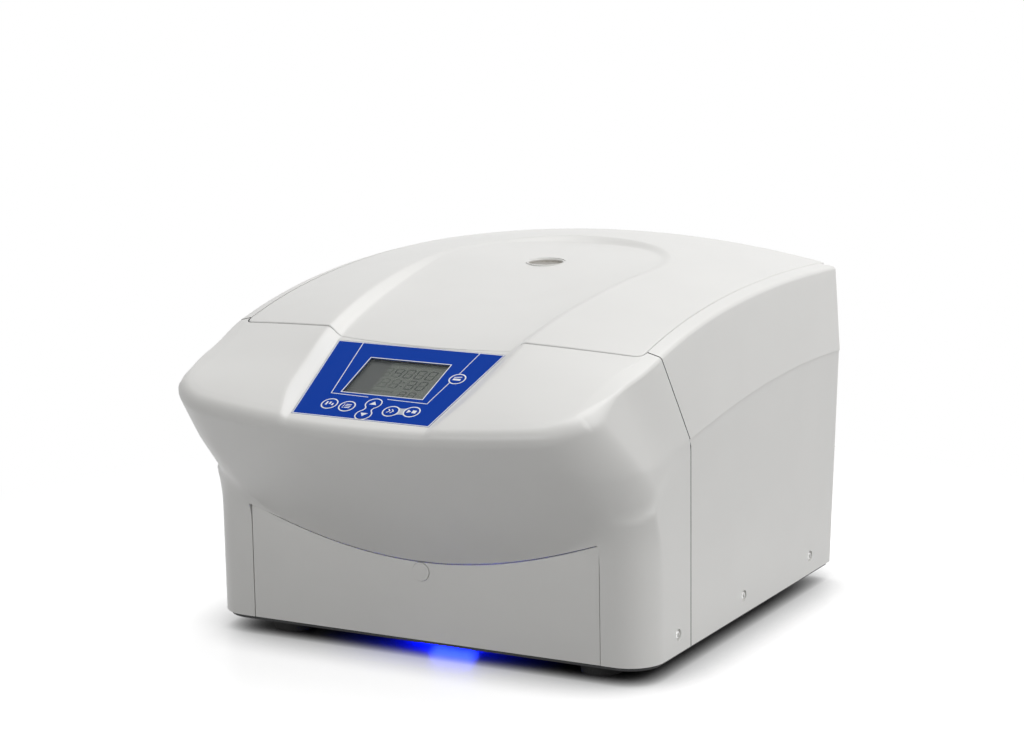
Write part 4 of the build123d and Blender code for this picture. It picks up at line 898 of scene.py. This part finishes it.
def skin_point(j, i):
    if i < TOP_ROWS:
        x, d = console_place(j, i / TOP_ROWS)
        return place(x, d, console_h(x, d, zones[j], insets[j] + TOP_INSET * (1 - i / TOP_ROWS)))
    i -= TOP_ROWS
    start = setbacks[j] * LIP_START
    if i < len(BAND_ROWS):
        inset = start + (insets[j] - start) * BAND_ROWS[i]
        x, d = column_place(j, inset)
        return place(x, d, console_h(x, d, zones[j], inset))
    i -= len(BAND_ROWS)
    if i < LIP_ROWS:
        x, d = column_place(j, start)
        first = place(x, d, console_h(x, d, zones[j], start))
        last = place(wall_places[0][j, 0], wall_places[1][j, 0], wall_h[j, 0])
        corner = place(edge_x[j], edge_d[j], edge_top[j])
        opening = (first - corner).angle(last - corner)
        return conic(first, corner, last, sin(opening / 2), i / LIP_ROWS)
    i -= LIP_ROWS
    return place(wall_places[0][j, i], wall_places[1][j, i], wall_h[j, i])


skin = shaped_grid(len(zones), skin_rows, skin_point)
full_width(skin)
front_skin = new_piece("front_shell", skin, cover_white, "base")
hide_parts("front_cover")
thicken(front_skin, [place(*spot) for spot in THIN_SPOTS])

# Pocket for the keypad, and the arched opening of the lower front's panel
POCKET_ROOM, POCKET_LOW, POCKET_HIGH = 0.3, -25, 12
slant = (KEYPAD_TOP_HALF - KEYPAD_END_HALF) / KEYPAD_LENGTH
pocket_top = KEYPAD_TOP_HALF + POCKET_ROOM + slant * POCKET_ROOM
pocket_end = KEYPAD_END_HALF + POCKET_ROOM
pocket = prism([(-pocket_top, POCKET_ROOM), (pocket_top, POCKET_ROOM),
                (pocket_end, -KEYPAD_LENGTH - POCKET_ROOM),
                (-pocket_end, -KEYPAD_LENGTH - POCKET_ROOM)], POCKET_LOW, POCKET_HIGH)
tilt = Matrix.Rotation(atan2(KEYPAD_SLOPE, 1), 4, "X")
console_turn = Matrix.Translation(place(0, KEYPAD_D, KEYPAD_H)) @ tilt
pocket.data.transform(console_turn)
cut_out(front_skin, [pocket])
arch = [(x, BOTTOM + float(chin_arc_h(abs(x)))) for x in np.linspace(PANEL_HALF, -PANEL_HALF, 61)]
cut_out(front_skin, [prism([(-PANEL_HALF, -5), (PANEL_HALF, -5)] + arch,
                           FRONT - WALL, FRONT + 2 * WALL, "y")])


# ---- Lid: a crowned shell with the trough that runs up to the port's dish ----
def back_d(h):
    """Place of the leaning back at a height."""
    lower = BACK_D + (BACK_CREASE_D - BACK_D) * h / BACK_CREASE_H
    upper = BACK_CREASE_D + LEAN * (h - BACK_CREASE_H)
    return lower if h < BACK_CREASE_H else upper


# Outline of the rim, and how far along it the corner and the place beside the port lie
rim_x, rim_d, rim_run = lid_outline(-RIM)
corner_x = HALF_LID - LID_CORNER + (LID_CORNER - RIM) * sin(pi / 4)
corner_run = float(np.interp(corner_x, rim_x[:-1], rim_run[:-1]))
half_rim = HALF_LID - RIM
side_run = float(np.interp(PORT_D, rim_d, rim_run))
port = Vector((0, PORT_D))
port_side = Vector((DISH_RADIUS, PORT_D))


def on_rim(length):
    return Vector((np.interp(length, rim_run, rim_x), np.interp(length, rim_run, rim_d)))


def lid_inner(zone, t):
    """Plan of the trough's columns, from the front edge at 0 to beside the port at 1."""
    d = LID_START_D
    for _ in range(ROUNDS):
        x = zone_x(zone, d, 0)
        front = float(np.interp(x, rim_x[:-1], rim_d[:-1]))
        d = front + (PORT_D - front) * t
    return Vector((x, d))


def lid_outer_place(part, t):
    """Plan of the top beside the trough: a patch between four lines."""
    t, part = float(t), float(part)
    ridge, side = lid_inner(2, t), on_rim(corner_run + (side_run - corner_run) * t)
    ridge_front = lid_inner(2, 0)
    ridge_run = float(np.interp(ridge_front.x, rim_x[:-1], rim_run[:-1]))
    front = on_rim(ridge_run + (corner_run - ridge_run) * part)
    rear = Vector((DISH_RADIUS + (half_rim - DISH_RADIUS) * part, PORT_D))
    flat = ((1 - t) * ((1 - part) * ridge_front + part * on_rim(corner_run))
            + t * ((1 - part) * port_side + part * Vector((half_rim, PORT_D))))
    return (1 - t) * front + t * rear + (1 - part) * ridge + part * side - flat


def lid_back_d(x):
    return back_d(float(lid_roof(x, BACK_EDGE_D))) - RIM


def lid_h(x, d, zone):
    roof, base = float(lid_roof(x, d)), float(trough_floor(d))
    return roof - (roof - base) * (1 - wall_share(zone))


LID_ROWS, LID_SIDE_RAYS, LID_BACK_RAYS = 64, 40, 44
# Rows stand closer at the front edge, and outer columns at the lid's side
CROWDING = 1.5
lid_zones = np.concatenate([np.linspace(0, 1, 25)[:-1], np.linspace(1, 2, 11)[:-1],
                            3 - np.linspace(1, 0, 40) ** CROWDING])
ray_ends = [(half_rim, d)
            for d in np.linspace(PORT_D, lid_back_d(half_rim), LID_SIDE_RAYS + 1)[1:]]
ray_ends += [(x, lid_back_d(x)) for x in np.linspace(half_rim, 0, LID_BACK_RAYS + 1)[1:]]


def lid_point(j, i):
    zone = lid_zones[j]
    if i <= LID_ROWS:
        t = (i / LID_ROWS) ** CROWDING
        x, d = lid_inner(zone, t) if zone <= 2 else lid_outer_place(zone - 2, t)
    else:
        end = Vector(ray_ends[i - LID_ROWS - 1])
        ray = (end - port).normalized()
        ridge = port + DISH_RADIUS * ray
        if zone <= 2:
            reach = float(np.interp(zone, [0, 1, 2], [0, DISH_RADIUS - DISH_WALL, DISH_RADIUS]))
            x, d = port + ray * reach
        else:
            x, d = ridge + (end - ridge) * float(zone - 2)
    return place(x, d, lid_h(x, d, zone))


def turn_down(work, steps):
    """Turn a skin's open edge down in steps, each a way out in plan and a way down.

    At the back it leans forward as it falls, like the back itself.
    """
    loop = [edge for edge in work.edges if edge.is_boundary]
    normals = {}
    for edge in loop:
        along = edge.verts[1].co - edge.verts[0].co
        normal = Vector((along.y, -along.x, 0)).normalized()
        middle = (edge.verts[0].co + edge.verts[1].co) / 2
        if normal.dot(middle - edge.link_faces[0].calc_center_median()) < 0:
            normal.negate()
        for vert in edge.verts:
            normals.setdefault(vert, []).append(normal)
    state = {}
    for vert, found in normals.items():
        both = found[0] + found[-1]
        state[tuple(vert.co)] = (vert.co.copy(), both / (1 + found[0].dot(found[-1])))
    for out_step, down in steps:
        grown = bmesh.ops.extrude_edge_only(work, edges=loop)["geom"]
        loop = [item for item in grown if isinstance(item, bmesh.types.BMEdge)]
        moved = {}
        for vert in [item for item in grown if isinstance(item, bmesh.types.BMVert)]:
            start, normal = state[tuple(vert.co)]
            drop = Vector((0, LEAN * down * max(normal.y, 0), down))
            vert.co = start + normal * out_step * MM - drop * MM
            moved[tuple(vert.co)] = (start, normal)
        state = moved


lid_work = shaped_grid(len(lid_zones), LID_ROWS + len(ray_ends) + 1, lid_point)
full_width(lid_work)
rim_turns = np.linspace(0, pi / 2, 6)[1:]
turn_down(lid_work, [(RIM * sin(a), RIM * (1 - cos(a))) for a in rim_turns] + [(RIM, LID_SKIRT)])
finish_mesh(lid_work)
lid_shell = new_piece("lid_shell", lid_work, cover_white, "lid")
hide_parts("lid_outer")
thicken(lid_shell)
cut_out(lid_shell, [prism(circle(0, FRONT + PORT_D, PORT_HOLE, 96), *PORT_CUT)])
crisp(lid_shell)

# ---- Rear cover: sides with their crease, the leaning back and the strip beside the lid ----
# Columns go from the seam round the corner; the "stub" ones reach the lid's notch
wrap = [("side", t) for t in np.linspace(0, 1, 74)]
wrap += [("corner", a) for a in np.linspace(0, pi / 2, 8)[1:]]
wrap += [("stub", 0.5), ("stub", 1.0)]
wrap += [("back", t) for t in np.linspace(0, 1, 36)]
# Rows go up the wall, with one at the seam's kink and one near the notch, and over the top
kink_share = KINK_H / float(crease_h(SEAM_D))
NOTCH_SHARE = 0.84
wrap_rows = [("low", s) for s in (*np.linspace(0, kink_share, 13), 0.5 + kink_share / 2, 1)]
wrap_rows += [("high", s) for s in (*np.linspace(0, NOTCH_SHARE, 11), 0.89, 0.94, 1.0)]
wrap_rows += [("round", t) for t in np.linspace(0, 1, 7)[1:]]
wrap_rows += [("strip", t) for t in np.linspace(0, 1, 5)[1:]]
wrap_rows += [("down", 1)]


def wrapped(column, inset, half, back, front):
    """Plan of a column of the wrap at a distance inside the wall."""
    kind, t = column
    rest = max(CORNER - inset, 0)
    if kind == "side":
        return half - inset, front + (back - inset - rest - front) * t
    if kind == "corner":
        return half - inset - rest * (1 - cos(t)), back - inset - rest * (1 - sin(t))
    edge = half - inset - rest
    if kind == "stub":
        return edge + (NOTCH_HALF - edge) * t, back - inset
    return NOTCH_HALF * (1 - t), back


def wall_place(column, kind, s, inset=0.0, drop=0.0):
    """Point of the rear cover at a share of its lower or upper wall.

    Behind the lid the back stops at the notch, so its columns go no higher than that.
    """
    d = REAR_START_D
    for _ in range(ROUNDS):
        crease, edge = float(crease_h(d)), float(edge_h(d))
        h = crease * s if kind == "low" else crease + (edge - crease) * s - drop
        if column[0] == "back":
            h = min(h, BACK_WALL)
        low, high = side_half(d, h)
        half = float(low if kind == "low" else high)
        x, d_new = wrapped(column, inset, half, back_d(h), float(seam_d(h)) + SEAM_GAP / 2)
        d = d_new if column[0] == "side" else back_d(h)
    if column[0] == "back":
        return place(x, d_new, h)
    rise = (float(lid_side_h(d)) - edge) * inset / (HALF_TOP - HALF_LID)
    return place(x, d_new, h + rise)


def wrap_point(j, i):
    column = wrap[j]
    kind, t = wrap_rows[i]
    if kind == "low":
        return wall_place(column, "low", t)
    if kind == "high":
        return wall_place(column, "high", t, 0.0, TOP_ROUND * t)
    last = wall_place(column, "high", 1.0, TOP_ROUND)
    if kind == "round":
        first = wall_place(column, "high", 1.0, 0.0, TOP_ROUND)
        return conic(first, wall_place(column, "high", 1.0), last, ROUND_WEIGHT, t)
    end = wall_place(column, "high", 1.0, STRIP)
    if kind == "strip":
        return last + (end - last) * t
    fall = 0 if column[0] == "back" else LID_SKIRT
    return end - Vector((0, 0, fall * MM))


rear_work = shaped_grid(len(wrap), len(wrap_rows), wrap_point)
notch_faces = [f for f in rear_work.faces
               if all(abs(v.co.x - NOTCH_HALF * MM) < 0.000001 for v in f.verts)]
bmesh.ops.delete(rear_work, geom=notch_faces, context="FACES")
full_width(rear_work)
rear_shell = new_piece("rear_shell", rear_work, cover_white, "base")
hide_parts("rear_cover")
thicken(rear_shell)

# ---- Side screws with their wells, and the openings of the back ----
# Half section of a button head with a round socket: radius, and distance outside its seat
SCREW_PROFILE = [(0, 0.35), (1.35, 0.35), (1.5, 1.15), (1.9, 1.2), (2.7, 1.0), (3.35, 0.55),
                 (3.6, 0.05), (3.6, -0.5), (2.0, -0.5), (2.0, -5.0), (0, -5.0)]


def screw_wells(places):
    """Cutters for the round wells of the side screws, on both sides."""
    inner, outer = HALF_BOTTOM - SCREW_RECESS, HALF_CREASE + WALL
    wells = []
    for d in places:
        outline = circle(FRONT + d, BOTTOM + SCREW_H, RECESS_RADIUS)
        wells += [prism(outline, inner, outer, "x"), prism(outline, -outer, -inner, "x")]
    return wells


screw_work = bmesh.new()
for side in (-1, 1):
    for d in (FRONT_SCREW_D, *REAR_SCREWS_D):
        axis = place(side * (HALF_BOTTOM - SCREW_RECESS), d, SCREW_H)
        line = [screw_work.verts.new(axis + Vector((side * out * MM, 0, r * MM)))
                for r, out in SCREW_PROFILE]
        edges = [screw_work.edges.new(pair) for pair in zip(line, line[1:])]
        bmesh.ops.spin(screw_work, geom=line + edges, cent=axis, axis=(1, 0, 0), angle=2 * pi,
                       steps=28, use_merge=True)
finish_mesh(screw_work, SLIVER)
heads = new_piece("screw_heads", screw_work, bright_steel, "base")
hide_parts("side_screws")
crisp(heads, 35)

cut_out(front_skin, screw_wells([FRONT_SCREW_D]))
crisp(front_skin)
OPENING_ROOM = (0.6, 0.8)
BACK_CUT = (FRONT + 320, FRONT + 350)
back_outlines = [oblong(x, BOTTOM + OPENINGS_H, width + OPENING_ROOM[0], height + OPENING_ROOM[1])
                 for x, width, height in BACK_OPENINGS]
back_outlines += [capsule((i - (VENT_COUNT - 1) / 2) * VENT_PITCH, BOTTOM + VENT_H,
                          VENT_WIDTH, VENT_HEIGHT) for i in range(VENT_COUNT)]
back_holes = [prism(outline, *BACK_CUT, "y") for outline in back_outlines]
cut_out(rear_shell, back_holes + screw_wells(REAR_SCREWS_D))
crisp(rear_shell)

# ---- Keypad: printed foil and key symbols ----
PRINT_THICKNESS = 0.03
PRINT_LIFT, MARK_LIFT = 0.02, 0.01
FOIL_MARGIN, EDGE_LINE, WINDOW_LINE, FRAME_LINE = 0.15, 0.8, 0.75, 0.65
RING_INNER, RING_OUTER, DUMBBELL_LINE = 5.5, 6.5, 0.9
ARROWS_WAIST, BRIDGE_WAIST = 3.4, 3.6
FRAME_LINES = [
    [(-47.9, -1.2), (-38.9, -65.8), (-8.2, -66.5)],
    [(8.6, -66.9), (40.7, -67.6), (44.3, -40.4)],
    [(46.4, -28.2), (49.2, -1.2)],
]


def outline_face(work, points):
    """Flat face of an outline on the sheet that is being printed."""
    return work.faces.new([work.verts.new((x * MM, y * MM, 0)) for x, y in points])


def ring(work, points, width):
    """Band of a width along the inside of an outline."""
    face = outline_face(work, points)
    face.normal_update()
    bmesh.ops.inset_region(work, faces=[face], thickness=width * MM, use_even_offset=True,
                           use_boundary=True)
    bmesh.ops.delete(work, geom=[face], context="FACES")


def stroke(work, start, end, width):
    """Straight line of a width between two places."""
    a, b = Vector(start), Vector(end)
    along = (b - a).normalized() * width / 2
    side = Vector((-along.y, along.x))
    outline_face(work, [a - along - side, b + along - side, b + along + side, a - along + side])


def dumbbell(a, b, radius, waist, whole=True):
    """Outline round two circles joined by a waist of hollow arcs, or of the waist alone."""
    a, b = Vector(a), Vector(b)
    half = (b - a).length / 2
    hollow = (waist ** 2 + half ** 2 - radius ** 2) / (2 * (radius - waist))
    rise = waist + hollow
    lean, turned = atan2(rise, half), atan2(b.y - a.y, b.x - a.x)
    side = Vector((-sin(turned), cos(turned)))
    middle = (a + b) / 2
    way, count = (2 * pi - lean, 30) if whole else (-lean, 14)
    points = arc(a, radius, turned + lean, turned + way, count)
    points += arc(middle - side * rise, hollow, turned + pi - lean, turned + lean, 12)[1:-1]
    points += arc(b, radius, turned - pi + lean, turned - pi + way, count)
    points += arc(middle + side * rise, hollow, turned - lean, turned - pi + lean, 12)[1:-1]
    return points


def printed(name, work, height, material, body):
    """Give a print its thickness and lay it on the console at a height over the foil."""
    bmesh.ops.recalc_face_normals(work, faces=work.faces)
    for face in work.faces:
        if face.normal.z < 0:
            face.normal_flip()
    extrude(work, (0, 0, PRINT_THICKNESS * MM))
    bmesh.ops.translate(work, vec=(0, 0, height * MM), verts=work.verts)
    bmesh.ops.transform(work, matrix=console_turn, verts=work.verts)
    return new_piece(name, work, material, body, smooth=False)


foil = bmesh.new()
foil_top, foil_end = KEYPAD_TOP_HALF - FOIL_MARGIN, KEYPAD_END_HALF - FOIL_MARGIN
ring(foil, [(-foil_top, -FOIL_MARGIN), (-foil_end, FOIL_MARGIN - KEYPAD_LENGTH),
            (foil_end, FOIL_MARGIN - KEYPAD_LENGTH), (foil_top, -FOIL_MARGIN)], EDGE_LINE)
ring(foil, oblong(*WINDOW_CENTRE, *[side + 2 * WINDOW_LINE for side in WINDOW_SIZE]), WINDOW_LINE)
for key in ("key_set", "key_program", "key_quick_run", "key_start_stop", "key_lid"):
    ring(foil, circle(*KEYS[key], RING_OUTER), RING_OUTER - RING_INNER)
ring(foil, dumbbell(KEYS["key_up"], KEYS["key_down"], RING_OUTER, ARROWS_WAIST), DUMBBELL_LINE)
for line in FRAME_LINES:
    for start, end in zip(line, line[1:]):
        stroke(foil, start, end, FRAME_LINE)
printed("keypad_print", foil, PRINT_LIFT, print_white, "base")

grey_bridge = bmesh.new()
outline_face(grey_bridge, dumbbell(KEYS["key_quick_run"], KEYS["key_start_stop"], RING_OUTER,
                                   BRIDGE_WAIST, whole=False))
printed("keypad_bridge", grey_bridge, PRINT_LIFT, print_grey, "base")


def chevron(x, reach):
    """Arrow head of a band 1 mm wide."""
    tip = reach * 0.8
    return [(x, reach), (x + 1, reach), (x + 1 + tip, 0), (x + 1, -reach), (x, -reach),
            (x + tip, 0)]


# Symbols of filled outlines, in mm from the middle of their key; each moves with its key
MARKS = {
    "key_up": [[(-2.9, -1.7), (2.9, -1.7), (0, 2.3)]],
    "key_down": [[(-2.9, 1.7), (0, -2.3), (2.9, 1.7)]],
    "key_set": [oblong(-2.2, 0, 1.4, 4.0), oblong(0.4, 0.6, 1.4, 2.8),
                oblong(2.8, -0.7, 1.4, 2.6)],
    "key_program": [oblong(x, y, width, 0.9) for x, width in ((-2.8, 1.0), (0.8, 4.4))
                    for y in (1.9, 0, -1.9)],
    "key_quick_run": [chevron(-3.0, 2.2), chevron(-0.2, 2.2)],
    "key_start_stop": [[(-3.4, -2.1), (-0.4, 0), (-3.4, 2.1)], oblong(2.0, 0, 3.2, 3.4)],
    "key_lid": [[(-3.1, -2.1), (3.1, -2.1), (3.1, 0.1), (-3.1, 0.1)],
                [(-3.1, 0.9), (2.9, 2.0), (2.7, 2.9), (-3.3, 1.8)]],
}
for key, shapes in MARKS.items():
    mark = bmesh.new()
    for points in shapes:
        outline_face(mark, [(KEYS[key][0] + x, KEYS[key][1] + y) for x, y in points])
    printed(key + "_mark", mark, KEY_TOP + MARK_LIFT, print_white, key)

# ---- Display: seven-bar numbers and the faint bars that are off ----
SEGMENTS = {"0": "abcdef", "1": "bc", "2": "abged", "3": "abgcd", "4": "fgbc", " ": ""}
# Width, height, pitch and bar's thickness of the numbers
LARGE, SMALL = (5.9, 10.2, 9.1, 1.15), (4.8, 6.8, 7.9, 0.9)
NUMBER_SLANT = 0.09
SEGMENT_GAP = 0.14


def segment(work, start, end, width):
    """Bar with pointed ends."""
    a, b = Vector(start), Vector(end)
    along = (b - a).normalized()
    side = Vector((-along.y, along.x)) * width / 2
    a, b = a + along * SEGMENT_GAP, b - along * SEGMENT_GAP
    tip = along * width / 2
    outline_face(work, [a, a + tip - side, b - tip - side, b, b - tip + side, a + tip + side])


def number(text, x, y, width, height, pitch, thick):
    """Row of seven-bar numbers, its bars on the lit or the unlit print."""
    for k, sign in enumerate(text):
        left = x + k * pitch
        spots = {(i, j): (left + i * width + NUMBER_SLANT * j * height / 2, y + j * height / 2)
                 for i in (0, 1) for j in (-1, 0, 1)}
        bars = {"a": ((0, 1), (1, 1)), "b": ((1, 1), (1, 0)), "c": ((1, 0), (1, -1)),
                "d": ((0, -1), (1, -1)), "e": ((0, 0), (0, -1)), "f": ((0, 1), (0, 0)),
                "g": ((0, 0), (1, 0))}
        for name, (p, q) in bars.items():
            segment(lit if name in SEGMENTS[sign] else unlit, spots[p], spots[q], thick)


lit, unlit = bmesh.new(), bmesh.new()
number(" 4000", -15.0, -30.8, *LARGE)
number(" 1", -10.6, -44.2, *LARGE)
number("30", 11.2, -44.2, *LARGE)
number("20", 11.0, -56.4, *SMALL)
for y in (-41.9, -46.5):
    outline_face(lit, oblong(7.6, y, 1.3, 1.3))
for k in range(12):
    outline_face(unlit, oblong(-20.0 + k * 2.2, -54.6, 1.5, 2.2))
for y in (-33.6, -35.6):
    outline_face(unlit, oblong(32.0, y, 2.6, 0.9))
printed("display_numbers", lit, MODULE_TOP + MARK_LIFT, lcd_dark, "base")
printed("display_ghosts", unlit, MODULE_TOP + MARK_LIFT, lcd_ghost, "base")

# ---- Finishes of the solids that stay as they are ----
FINISHES = {
    cover_white: ["access_panel", "port_ring", "release_plug"],
    liner_white: ["lid_inner"],
    guard_paint: ["guard_ring", "lid_leaves", "lock_frame", "motor_carrier", "hinge_brackets"],
    brushed_bowl: ["chamber_bowl"],
    bright_steel: ["side_screws", "motor_shaft", "hinge_pins", "lid_striker", "lock_hook",
                   "motor_bearings", "rotor_nut", "motor_posts", "release_cable"],
    aluminium: ["rotor_yoke", "motor_housing", "bucket_1", "bucket_2", "bucket_3", "bucket_4",
                "deck"],
    iron: ["motor_stator", "motor_armature", "lock_solenoid"],
    base_paint: ["base_tray"],
    foot_rubber: ["foot_1", "foot_2", "foot_3", "foot_4", "motor_dampers"],
    seal_rubber: ["lid_gasket", "bowl_seal"],
    black_plastic: ["mains_inlet", "fuse_holder", "fuse_drawer", "switch_frame", "power_rocker",
                    "keypad_plate"],
    board_green: ["power_board", "display_board"],
    keypad_blue: ["keypad_membrane", *KEYS],
    # The display's grey carries a band of painted shade down its left side
    lcd_grey: ["lcd_module"],
    window_clear: ["lcd_window"],
    port_clear: ["port_window"],
    led_blue: ["led_window"],
}
for material, names in FINISHES.items():
    for name in names:
        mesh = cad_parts[name].data
        mesh.materials.clear()
        mesh.materials.append(material)
